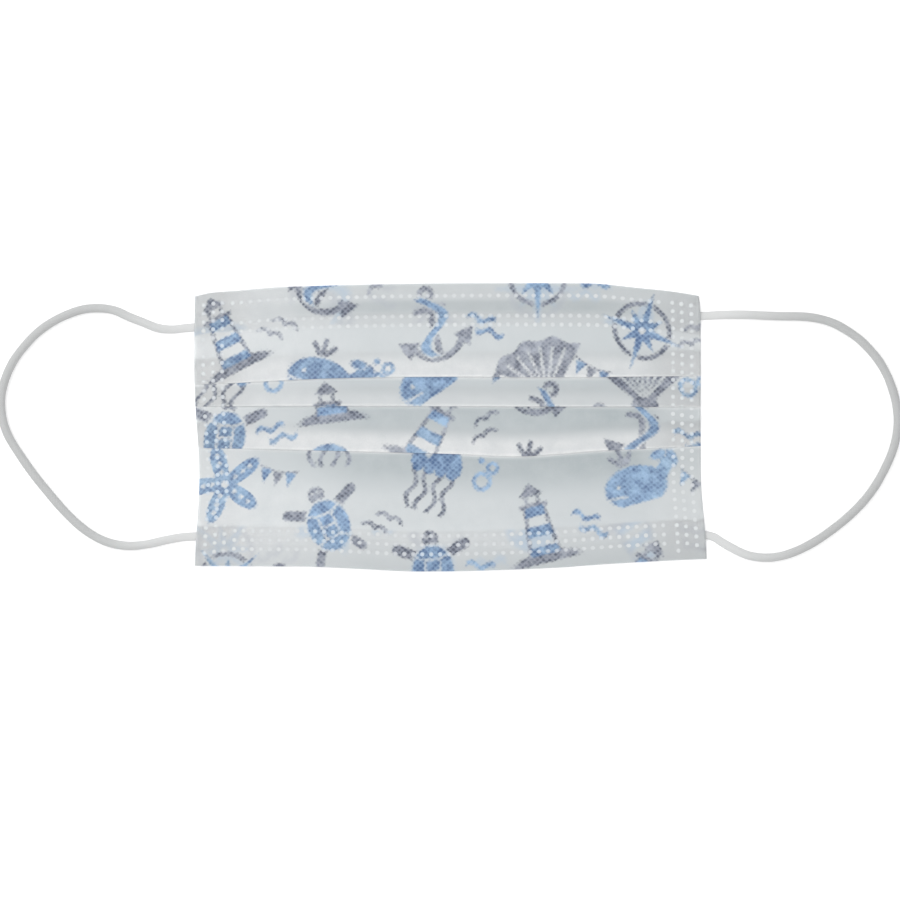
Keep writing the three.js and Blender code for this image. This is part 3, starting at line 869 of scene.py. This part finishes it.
def bond_net(tree, uv):
    """0 between the bond points and 1 on them: two nets of dots, one set in the gaps of the other."""
    split = add(tree, "ShaderNodeSeparateXYZ", {0: uv})
    dots = []
    for shift in (0.0, 0.5):
        cells = []
        for axis, pitch in (("X", BOND_PITCH), ("Y", BOND_PITCH * BOND_SQUEEZE)):
            scaled = add(tree, "ShaderNodeMath", {
                0: split.outputs[axis], 1: 1 / pitch, 2: shift,
            }, operation="MULTIPLY_ADD")
            wrapped = add(tree, "ShaderNodeMath", {0: scaled.outputs[0]}, operation="FRACT")
            centred = add(tree, "ShaderNodeMath", {0: wrapped.outputs[0], 1: 0.5}, operation="SUBTRACT")
            cells.append(centred.outputs[0])
        spot = add(tree, "ShaderNodeCombineXYZ", {"X": cells[0], "Y": cells[1]})
        from_dot = add(tree, "ShaderNodeVectorMath", {0: spot.outputs[0]}, operation="LENGTH")
        dots.append(from_dot.outputs["Value"])
    nearest = add(tree, "ShaderNodeMath", {0: dots[0], 1: dots[1]}, operation="MINIMUM")
    uneven = add(tree, "ShaderNodeTexNoise", {"Vector": uv, "Scale": 4.5, "Detail": 2.0})
    nearest = add(tree, "ShaderNodeMath", {
        0: uneven.outputs["Fac"], 1: BOND_UNEVENNESS, 2: nearest.outputs[0],
    }, operation="MULTIPLY_ADD")
    nearest = add(tree, "ShaderNodeMath", {
        0: nearest.outputs[0], 1: BOND_UNEVENNESS / 2,
    }, operation="SUBTRACT")
    return add(tree, "ShaderNodeMapRange", {
        "Value": nearest.outputs[0], "From Min": 0.0, "From Max": BOND_SPREAD, "To Min": 1.0, "To Max": 0.0,
    }, interpolation_type="SMOOTHSTEP").outputs["Result"]


print("bond points", round(5 * BOND_PITCH * math.hypot(1, BOND_SQUEEZE), 1), "mm apart")

# %% Ink
BOND_BLEED = 0.36
FRAYING = 1.1
EDGE_LEVEL = 0.45


def ink_cover(tree, attribute, threads, bonds, soft, most):
    """How much ink there is, from the distance that an attribute holds; soft is the width of its edge."""
    distance = add(tree, "ShaderNodeAttribute", attribute_name=attribute).outputs["Fac"]
    bled = add(tree, "ShaderNodeMath", {
        0: bonds, 1: -BOND_BLEED, 2: distance,
    }, operation="MULTIPLY_ADD")
    ragged = add(tree, "ShaderNodeMath", {
        0: threads, 1: FRAYING, 2: bled.outputs[0],
    }, operation="MULTIPLY_ADD").outputs[0]
    return add(tree, "ShaderNodeMapRange", {
        "Value": ragged, "From Min": EDGE_LEVEL - soft, "From Max": EDGE_LEVEL + soft,
        "To Min": most, "To Max": 0.0,
    }, interpolation_type="SMOOTHSTEP").outputs["Result"]


print("ink reaches", BOND_BLEED, "mm further at a bond point")


# %% Bare cloth
def cloth_ground(tree, uv):
    """The bare cloth's cloudy white, greyer where its plies are thin and where shade is painted, whiter where
    a highlight is painted, and the pattern of its threads.
    """
    clouds = add(tree, "ShaderNodeTexNoise", {"Vector": uv, "Scale": 1.6, "Detail": 5.0, "Roughness": 0.62})
    threads = add(tree, "ShaderNodeTexNoise", {
        "Vector": uv, "Scale": 22.0, "Detail": 3.0, "Roughness": 0.75, "Distortion": 1.6,
    })
    fine = add(tree, "ShaderNodeMath", {0: threads.outputs["Fac"], 1: 0.45}, operation="MULTIPLY")
    mottle = add(tree, "ShaderNodeMath", {
        0: clouds.outputs["Fac"], 1: 0.75, 2: fine.outputs[0],
    }, operation="MULTIPLY_ADD")
    shade = add(tree, "ShaderNodeMapRange", {"Value": mottle.outputs[0], "From Min": 0.35, "From Max": 0.85})
    ground = add(tree, "ShaderNodeMix", {
        "Factor": shade.outputs["Result"], 6: linear(CLOTH_WHITE), 7: linear(CLOTH_CLOUD),
    }, data_type="RGBA")
    # this attribute carries thin plies together with painted shade and painted highlights
    thinness_and_painted_shade = add(tree, "ShaderNodeAttribute", attribute_name="thin").outputs["Fac"]
    ground = add(tree, "ShaderNodeMix", {
        "Factor": thinness_and_painted_shade, 6: ground.outputs[2], 7: linear(CLOTH_THIN_AND_SHADED),
    }, data_type="RGBA", clamp_factor=False)
    return ground.outputs[2], threads.outputs["Fac"]


def finish_cloth(tree, shader, colour, threads, bonds):
    dimples = add(tree, "ShaderNodeMath", {0: bonds, 1: -0.5, 2: threads}, operation="MULTIPLY_ADD")
    bump = add(tree, "ShaderNodeBump", {
        "Height": dimples.outputs[0], "Strength": 0.25, "Distance": 0.06 * MM,
    })
    tree.links.new(colour, shader.inputs["Base Color"])
    tree.links.new(bump.outputs["Normal"], shader.inputs["Normal"])
    shader.inputs["Roughness"].default_value = 0.82
    shader.inputs["IOR"].default_value = 1.49
    shader.inputs["Specular IOR Level"].default_value = 0.3
    shader.inputs["Sheen Weight"].default_value = 0.12
    shader.inputs["Sheen Roughness"].default_value = 0.5
    shader.inputs["Subsurface Weight"].default_value = 0.7
    shader.inputs["Subsurface Radius"].default_value = (1.0, 1.0, 1.0)
    shader.inputs["Subsurface Scale"].default_value = 1.0 * MM


print("bare cloth from", CLOTH_WHITE, "to", CLOTH_THIN_AND_SHADED)

# %% Printed outer cloth and plain inner cloth
EDGE_SOFTNESS, FULL_INK = 0.55, 0.92
BEHIND_SOFTNESS, BEHIND_INK = 1.6, 0.4
FIGURE_SHARE = 0.16
DRY, WET = 0.39, 0.68
BETWEEN_DOTS = 0.45
INKS = [
    # attribute, pale colour, deep colour, and how much more of the deep colour the bond points take
    ("slate_ink", SLATE, SLATE_DEEP, 0.6),
    ("blue_ink", BLUE, BLUE_DEEP, 0.45),
]

outer_cloth, tree, shader = new_material("printed_spunbond")
uv = add(tree, "ShaderNodeUVMap", uv_map="flat_cloth").outputs["UV"]
ground, threads = cloth_ground(tree, uv)
bonds = bond_net(tree, uv)
hem = add(tree, "ShaderNodeAttribute", attribute_name="hem").outputs["Fac"]
colour = ground
for attribute, hex_colour in (("blue_behind", BLUE), ("slate_behind", SLATE)):
    cover_share = ink_cover(tree, attribute, threads, bonds, BEHIND_SOFTNESS, BEHIND_INK)
    through = add(tree, "ShaderNodeMath", {0: cover_share, 1: hem}, operation="MULTIPLY")
    colour = add(tree, "ShaderNodeMix", {
        "Factor": through.outputs[0], 6: colour, 7: linear(hex_colour),
    }, data_type="RGBA").outputs[2]
patchy = add(tree, "ShaderNodeTexNoise", {"Vector": uv, "Scale": 2.4, "Detail": 4.0, "Roughness": 0.65})
for attribute, pale, deep, dot_share in INKS:
    amount = ink_cover(tree, attribute, threads, bonds, EDGE_SOFTNESS, FULL_INK)
    figure_depth = add(tree, "ShaderNodeAttribute", attribute_name="ink_depth").outputs["Fac"]
    wetness = add(tree, "ShaderNodeMath", {
        0: figure_depth, 1: FIGURE_SHARE, 2: patchy.outputs["Fac"],
    }, operation="MULTIPLY_ADD")
    wetness = add(tree, "ShaderNodeMapRange", {
        "Value": wetness.outputs[0], "From Min": DRY, "From Max": WET,
    }).outputs["Result"]
    dots = add(tree, "ShaderNodeMath", {0: bonds, 1: dot_share, 2: BETWEEN_DOTS}, operation="MULTIPLY_ADD")
    depth = add(tree, "ShaderNodeMath", {0: dots.outputs[0], 1: wetness}, operation="MULTIPLY")
    ink = add(tree, "ShaderNodeMix", {
        "Factor": depth.outputs[0], 6: linear(pale), 7: linear(deep),
    }, data_type="RGBA")
    colour = add(tree, "ShaderNodeMix", {
        "Factor": amount, 6: colour, 7: ink.outputs[2],
    }, data_type="RGBA").outputs[2]
finish_cloth(tree, shader, colour, threads, bonds)

inner_cloth, tree, shader = new_material("plain_spunbond")
uv = add(tree, "ShaderNodeUVMap", uv_map="flat_cloth").outputs["UV"]
ground, threads = cloth_ground(tree, uv)
finish_cloth(tree, shader, ground, threads, bond_net(tree, uv))

cover_mesh.materials.append(outer_cloth)
cover_mesh.materials.append(inner_cloth)
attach(cover, "root")
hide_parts("pleated_cover")
print("cloth materials:", outer_cloth.name, inner_cloth.name)

# %% [markdown]
# ## Weld points
# The ultrasonic welder leaves rows of small round points where it has melted the plies together. They are
# a little brighter than the cloth, because the melted spots are smooth. There are hundreds, so each is
# only a low cap, one ring of faces around a middle one, and all of them are one mesh. A ray from above
# finds the cloth under every vertex of a cap, which makes each cap follow the folds that it sits on. The
# caps fade into the cloth's own white at their rims, and they take some of the print's colour where they
# sit on a figure.

# %% Places of the weld points
POINT_RADIUS = 0.9 * MM
POINT_RIM = 0.7 * MM
POINT_HEIGHT = 0.05 * MM
POINT_SINK = 0.01 * MM
POINT_SIDES = 10
POINT_PITCH = 3.15 * MM
SIDE_COLUMNS = [3.2 * MM, 6.6 * MM, 9.8 * MM]
ROW_START = 0.075
ROW_END = 0.935
SIDE_TOP = 4 * MM
SIDE_FOOT = 3 * MM
SIDE_PITCH = 0.95 * POINT_PITCH

points = []
for share in np.arange(ROW_START, ROW_END, POINT_PITCH / BODY_WIDTH):
    at = lines_at(share)
    rows = [at["nose"] - inset for inset in NOSE_ROWS] + [at["chin"] + inset for inset in CHIN_ROWS]
    points += [(share, float(y)) for y in rows]
for inset in SIDE_COLUMNS:
    for share in (inset / BODY_WIDTH, 1 - inset / BODY_WIDTH):
        at = lines_at(share)
        column = np.arange(at["nose"] - SIDE_TOP, at["chin"] + SIDE_FOOT, -SIDE_PITCH)
        points += [(share, float(y)) for y in column]
print("weld points:", len(points))

# %% Ink under the weld points
bpy.context.view_layer.update()
depsgraph = bpy.context.evaluated_depsgraph_get()
cloth_tree = BVHTree.FromObject(cover, depsgraph)
evaluated_cover = cover.evaluated_get(depsgraph)
folded_cloth = evaluated_cover.to_mesh()
TINT_BORDER = (-0.3, 1.0)
ink_distance = {}
for ink in ("blue_ink", "slate_ink"):
    ink_distance[ink] = np.empty(len(folded_cloth.vertices), np.float32)
    folded_cloth.attributes[ink].data.foreach_get("value", ink_distance[ink])


def inked(ink, face):
    """How much of an ink lies on one face of the cloth, from 0 to 1."""
    corners = list(folded_cloth.polygons[face].vertices)
    return float(ease(ink_distance[ink][corners].mean(), *TINT_BORDER, 1, 0))


print("faces of the folded cloth:", len(folded_cloth.polygons))

# %% Caps of the weld points
DULLEST = 0.85
RIM_TINT, MIDDLE_TINT = 0.8, 0.3

shape = bmesh.new()
uneven_points = random.Random(7)
point_values = {"rim": [], "blue_tint": [], "slate_tint": []}
for share, y in points:
    left, right = side_edges(y)
    x = float(left + (right - left) * share)
    dullness = uneven_points.uniform(0, DULLEST)
    made_before = len(shape.verts)
    circle = bmesh.ops.create_circle(shape, cap_ends=True, radius=POINT_RADIUS, segments=POINT_SIDES)
    bmesh.ops.inset_individual(shape, faces=circle["verts"][0].link_faces[:], thickness=POINT_RIM)
    shape.verts.ensure_lookup_table()
    for vertex in shape.verts[made_before:]:
        on_rim = vertex.co.length > POINT_RADIUS - POINT_RIM / 2
        over = Vector((x + vertex.co.x, y + vertex.co.y, 1.0))
        cloth_under, _, face, _ = cloth_tree.ray_cast(over, Vector((0, 0, -1)))
        vertex.co = cloth_under + Vector((0, 0, -POINT_SINK if on_rim else POINT_HEIGHT))
        point_values["rim"].append(1.0 if on_rim else dullness)
        tint_share = RIM_TINT if on_rim else MIDDLE_TINT
        for ink in ("blue", "slate"):
            point_values[ink + "_tint"].append(inked(ink + "_ink", face) * tint_share)
evaluated_cover.to_mesh_clear()
bmesh.ops.recalc_face_normals(shape, faces=shape.faces)
for face in shape.faces:
    face.smooth = True
point_mesh = finished_mesh("weld_points", shape)
for name, values in point_values.items():
    point_mesh.attributes.new(name, "FLOAT", "POINT").data.foreach_set("value", values)
weld_points = new_object("weld_points", point_mesh)
print("faces of the caps:", len(point_mesh.polygons))

# %% Melted cloth of the weld points
melted, tree, shader = new_material("melted_polypropylene")
place = add(tree, "ShaderNodeTexCoord").outputs["Object"]
grain = add(tree, "ShaderNodeTexNoise", {"Vector": place, "Scale": 260.0, "Detail": 2.0})
tone = add(tree, "ShaderNodeMix", {
    "Factor": grain.outputs["Fac"], 6: linear("#DFE2E3"), 7: linear("#D5D9DB"),
}, data_type="RGBA")
rim_share = add(tree, "ShaderNodeAttribute", attribute_name="rim").outputs["Fac"]
tone = add(tree, "ShaderNodeMix", {
    "Factor": rim_share, 6: tone.outputs[2], 7: linear(CLOTH_CLOUD),
}, data_type="RGBA")
for attribute, hex_colour in (("blue_tint", BLUE), ("slate_tint", SLATE)):
    tint = add(tree, "ShaderNodeAttribute", attribute_name=attribute).outputs["Fac"]
    tone = add(tree, "ShaderNodeMix", {
        "Factor": tint, 6: tone.outputs[2], 7: linear(hex_colour),
    }, data_type="RGBA")
tree.links.new(tone.outputs[2], shader.inputs["Base Color"])
shader.inputs["Roughness"].default_value = 0.5
shader.inputs["IOR"].default_value = 1.49
shader.inputs["Specular IOR Level"].default_value = 0.3
point_mesh.materials.append(melted)
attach(weld_points, "root")
print("weld point material:", melted.name)

# %% [markdown]
# ## Ear loops
# Each loop is a round cord of knitted elastic, 3 mm thick. It lies loose on the table, and its two ends
# are pressed flat and welded under the mask's corners. A curve with a round bevel would give an even
# tube. A grid rolled up along the route is used instead, because it can flatten towards its ends and
# carries its own UV map for the knit.

# %% Routes of the ear loops
LOOP_ROUTES_MM = {
    "ear_loop_left": [
        (-89.8, 34.9), (-92.6, 34.7), (-97.5, 34.2), (-102.4, 34.7), (-107.3, 36.6), (-112.2, 38.5),
        (-117.4, 40.8), (-122.7, 41.6), (-128.3, 41.2), (-133.9, 39.4), (-139.5, 36.6), (-144.7, 32.8),
        (-149.3, 27.9), (-152.8, 23.1), (-155.4, 17.6), (-156.9, 12.0), (-157.1, 6.7), (-156.2, 1.2),
        (-154.2, -3.8), (-150.7, -9.4), (-146.1, -16.0), (-140.9, -22.5), (-135.3, -29.0), (-129.7, -34.4),
        (-124.1, -38.3), (-118.5, -40.6), (-112.2, -41.5), (-105.9, -40.9), (-99.6, -39.5), (-94.0, -38.5),
        (-89.3, -38.2),
    ],
    "ear_loop_right": [
        (87.7, 38.9), (91.5, 39.1), (97.1, 39.3), (103.4, 39.3), (109.7, 39.0), (116.0, 38.8),
        (122.3, 38.7), (127.9, 38.1), (133.5, 36.5), (138.4, 33.9), (142.6, 31.0), (146.5, 27.2),
        (149.8, 23.1), (152.5, 18.4), (154.6, 13.0), (155.9, 7.8), (156.4, 2.5), (155.9, -3.1),
        (154.4, -8.7), (151.9, -14.4), (148.7, -20.2), (144.7, -25.6), (139.5, -30.9), (133.5, -35.8),
        (127.2, -40.1), (120.9, -43.3), (115.3, -45.1), (109.7, -45.6), (104.1, -44.8), (99.1, -42.6),
        (94.9, -40.2), (92.3, -38.5), (90.0, -37.9),
    ],
}
LOOP_DIAMETER = 3 * MM
LOOP_SIDES = 20
LOOP_ROWS = 420
FLAT_HALF_WIDTH = 1.45 * MM
FLATTENING = 20 * MM
END_OVERLAP = 2 * MM
FINE_STEPS = 4000
print("points of each route:", [len(route) for route in LOOP_ROUTES_MM.values()])


# %% Route and tube
def smooth_route(points, rows):
    """Evenly spaced points on a smooth curve through the route, with their distance along it."""
    knots = np.array(points, float) * MM
    for end, before in ((0, 1), (-1, -2)):
        onwards = knots[end] - knots[before]
        knots[end] = knots[end] + onwards / np.linalg.norm(onwards) * END_OVERLAP
    reach = np.r_[0, np.cumsum(np.linalg.norm(np.diff(knots, axis=0), axis=1))]
    table = {"at": reach, "x": knots[:, 0], "y": knots[:, 1]}
    fine = np.linspace(0, reach[-1], FINE_STEPS)
    dense = np.stack([along(table, "at", axis, fine) for axis in "xy"], axis=1)
    travelled = np.r_[0, np.cumsum(np.linalg.norm(np.diff(dense, axis=0), axis=1))]
    even = np.linspace(0, travelled[-1], rows)
    return np.stack([np.interp(even, travelled, dense[:, axis]) for axis in (0, 1)], axis=1), even


def rolled_tube(name, centre, heights, half_widths, half_heights, travelled, paleness):
    """A grid rolled into a closed tube that lies along a level route, with its ends capped."""
    tangent = np.gradient(centre, axis=0)
    tangent /= np.linalg.norm(tangent, axis=1)[:, None]
    rows = len(centre)
    tube = bmesh.new()
    bmesh.ops.create_grid(tube, x_segments=LOOP_SIDES, y_segments=rows - 1, size=1)
    uv_layer = tube.loops.layers.uv.new("rolled_knit")
    placed = {v: ((v.co.x + 1) / 2, round((v.co.y + 1) / 2 * (rows - 1))) for v in tube.verts}
    for face in tube.faces:
        face.smooth = True
        for loop in face.loops:
            around, row = placed[loop.vert]
            loop[uv_layer].uv = (around, travelled[row] / (10 * MM))
    for vertex, (around, row) in placed.items():
        angle = 2 * math.pi * around
        sideways = math.cos(angle) * half_widths[row]
        x = centre[row, 0] + tangent[row, 1] * sideways
        y = centre[row, 1] - tangent[row, 0] * sideways
        vertex.co = (x, y, heights[row] + math.sin(angle) * half_heights[row])
    bmesh.ops.remove_doubles(tube, verts=tube.verts, dist=0.001 * MM)
    bmesh.ops.holes_fill(tube, edges=[edge for edge in tube.edges if edge.is_boundary])
    bmesh.ops.recalc_face_normals(tube, faces=tube.faces)
    mesh = finished_mesh(name, tube)
    pale = mesh.attributes.new("pale", "FLOAT", "POINT")
    nearest = [np.argmin(np.hypot(centre[:, 0] - v.co.x, centre[:, 1] - v.co.y)) for v in mesh.vertices]
    pale.data.foreach_set("value", [float(paleness[row]) for row in nearest])
    return new_object(name, mesh)


print("sides of a cord:", LOOP_SIDES)

# %% [markdown]
# ## Knitted elastic
# The cord is tubular warp knit, polyester over spandex: fine lengthwise ribs about 0.8 mm apart, crossed
# by stitch rows every 0.9 mm. It is matt and slightly fuzzy, which a soft sheen gives, and pale grey
# against the white table. Towards the mask it flattens and is paler, because the flat knit lets more of
# the table's white through.

# %% Elastic material
RIBS = 12
STITCH = 0.09

elastic, tree, shader = new_material("knitted_elastic")
uv = add(tree, "ShaderNodeUVMap", uv_map="rolled_knit").outputs["UV"]
split = add(tree, "ShaderNodeSeparateXYZ", {0: uv})
rib = add(tree, "ShaderNodeMath", {0: split.outputs["X"], 1: 2 * math.pi * RIBS}, operation="MULTIPLY")
rib = add(tree, "ShaderNodeMath", {0: rib.outputs[0]}, operation="COSINE")
row = add(tree, "ShaderNodeMath", {0: split.outputs["Y"], 1: 2 * math.pi / STITCH}, operation="MULTIPLY")
row = add(tree, "ShaderNodeMath", {0: row.outputs[0]}, operation="COSINE")
knit = add(tree, "ShaderNodeMath", {0: rib.outputs[0], 1: row.outputs[0]}, operation="MULTIPLY")
place = add(tree, "ShaderNodeTexCoord").outputs["Object"]
fuzz = add(tree, "ShaderNodeTexNoise", {"Vector": place, "Scale": 500.0, "Detail": 3.0, "Roughness": 0.7})
height = add(tree, "ShaderNodeMath", {
    0: fuzz.outputs["Fac"], 1: 1.4, 2: knit.outputs[0],
}, operation="MULTIPLY_ADD")
bump = add(tree, "ShaderNodeBump", {"Height": height.outputs[0], "Strength": 0.4, "Distance": 0.1 * MM})
shade = add(tree, "ShaderNodeMapRange", {"Value": height.outputs[0], "From Min": -0.6, "From Max": 1.8})
colour = add(tree, "ShaderNodeMix", {
    "Factor": shade.outputs["Result"], 6: linear("#B3B5B5"), 7: linear("#C4C5C5"),
}, data_type="RGBA")
pale = add(tree, "ShaderNodeAttribute", attribute_name="pale").outputs["Fac"]
colour = add(tree, "ShaderNodeMix", {
    "Factor": pale, 6: colour.outputs[2], 7: linear("#E5E6E6"),
}, data_type="RGBA")
tree.links.new(colour.outputs[2], shader.inputs["Base Color"])
tree.links.new(bump.outputs["Normal"], shader.inputs["Normal"])
shader.inputs["Roughness"].default_value = 0.85
shader.inputs["Specular IOR Level"].default_value = 0.25
shader.inputs["Sheen Weight"].default_value = 0.2
shader.inputs["Sheen Roughness"].default_value = 0.4
print("cord material:", elastic.name)

# %% Ear loops
UNEVEN_WAVE, UNEVEN_SHARE = 6 * MM, 0.05
PALE_REACH = (5 * MM, 45 * MM, 0.6, 0)

for name, route in LOOP_ROUTES_MM.items():
    centre, travelled = smooth_route(route, LOOP_ROWS)
    from_end = np.minimum(travelled, travelled[-1] - travelled)
    radius = LOOP_DIAMETER / 2
    swelling = [noise.noise(Vector((t / UNEVEN_WAVE, 0, len(name)))) for t in travelled]
    uneven = 1 + UNEVEN_SHARE * np.array(swelling)
    half_widths = ease(from_end, END_OVERLAP, FLATTENING, FLAT_HALF_WIDTH, radius) * uneven
    half_heights = ease(from_end, END_OVERLAP, FLATTENING, CORD_EDGE / 2, radius) * uneven
    paleness = ease(from_end, *PALE_REACH)
    loop = rolled_tube(name + "_cord", centre, half_heights, half_widths, half_heights, travelled, paleness)
    loop.data.materials.append(elastic)
    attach(loop, "root")
    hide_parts(name)

# %% [markdown]
# ## Flat ends of the loops
# Under each corner the cord is pressed flat and welded to the inner face. The piece starts with the
# cord's own flattened section at the mask's edge and widens to the plain model's flat end, with a rounded
# tip.

# %% Flat ends
END_ROWS = 40
END_INSET = 1 * MM
END_WIDENING = 3 * MM
END_PALENESS = 0.85

for node, side in LOOP_ENDS.items():
    low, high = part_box(node)
    share = np.linspace(0, 1, END_ROWS)
    outer, inner = (low.x + END_INSET, high.x) if side < 0 else (high.x - END_INSET, low.x)
    reach = share * abs(inner - outer)
    centre = np.column_stack([outer + (inner - outer) * share, np.full(END_ROWS, (low.y + high.y) / 2)])
    full_width = (high.y - low.y) / 2
    widths = ease(reach, 0, END_WIDENING, FLAT_HALF_WIDTH, full_width)
    tip = np.clip((reach - (reach[-1] - full_width)) / full_width, 0, 1)
    widths = widths * np.sqrt(np.clip(1 - tip * tip, 0.02, 1))
    heights = pad_height(reach) / 2 * (1 - 0.5 * tip ** 3)
    paleness = np.full(END_ROWS, END_PALENESS)
    end = rolled_tube(node + "_pad", centre, heights, widths, heights, reach, paleness)
    end.data.materials.append(elastic)
    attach(end, "root")
    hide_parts(node)
print("flat ends:", len(LOOP_ENDS))

# %% [markdown]
# ## Nose wire
# The wire lies inside the channel under the nose edge: thin steel in a flat sheath of polyethylene, about
# 4 mm wide. The plain model makes it thick enough to be solid. The real one is under half a millimetre,
# so it is made again here: a flat bar with rounded edges, bent along the same line, lying on the hem.

# %% Nose wire
WIRE_STEPS = 60
WIRE_ROUNDING = 2 * MM
wire_x = np.linspace(WIRE[0].x, WIRE[1].x, WIRE_STEPS)
wire_share = 0.5 + wire_x / BODY_WIDTH
wire_y = lines_at(wire_share)["nose"] - WIRE_INSET
wire_z = 2 * lowest(wire_share) + WIRE_THICKNESS / 2 + drape(wire_x, wire_y)
rounding = np.clip(np.minimum(wire_x - wire_x[0], wire_x[-1] - wire_x) / WIRE_ROUNDING, 0.05, 1)
wire = rolled_tube(
    "nose_wire_sheath",
    np.column_stack([wire_x, wire_y]),
    wire_z,
    WIRE_HALF * np.sqrt(rounding * (2 - rounding)),
    np.full(WIRE_STEPS, WIRE_THICKNESS / 2),
    wire_x - wire_x[0],
    np.zeros(WIRE_STEPS),
)

# %% Sheath of the nose wire
sheath, tree, shader = new_material("polyethylene_sheath")
place = add(tree, "ShaderNodeTexCoord").outputs["Object"]
flow = add(tree, "ShaderNodeMapping", {"Vector": place, "Scale": (40.0, 900.0, 900.0)})
streaks = add(tree, "ShaderNodeTexNoise", {"Vector": flow.outputs["Vector"], "Scale": 1.0, "Detail": 2.0})
tone = add(tree, "ShaderNodeMix", {
    "Factor": streaks.outputs["Fac"], 6: linear("#C4C8CB"), 7: linear("#D2D6D8"),
}, data_type="RGBA")
tree.links.new(tone.outputs[2], shader.inputs["Base Color"])
shader.inputs["Roughness"].default_value = 0.42
shader.inputs["IOR"].default_value = 1.51
wire.data.materials.append(sheath)
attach(wire, "root")
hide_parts("nose_wire")
print("nose wire:", round(WIRE_LENGTH / MM, 1), "mm")
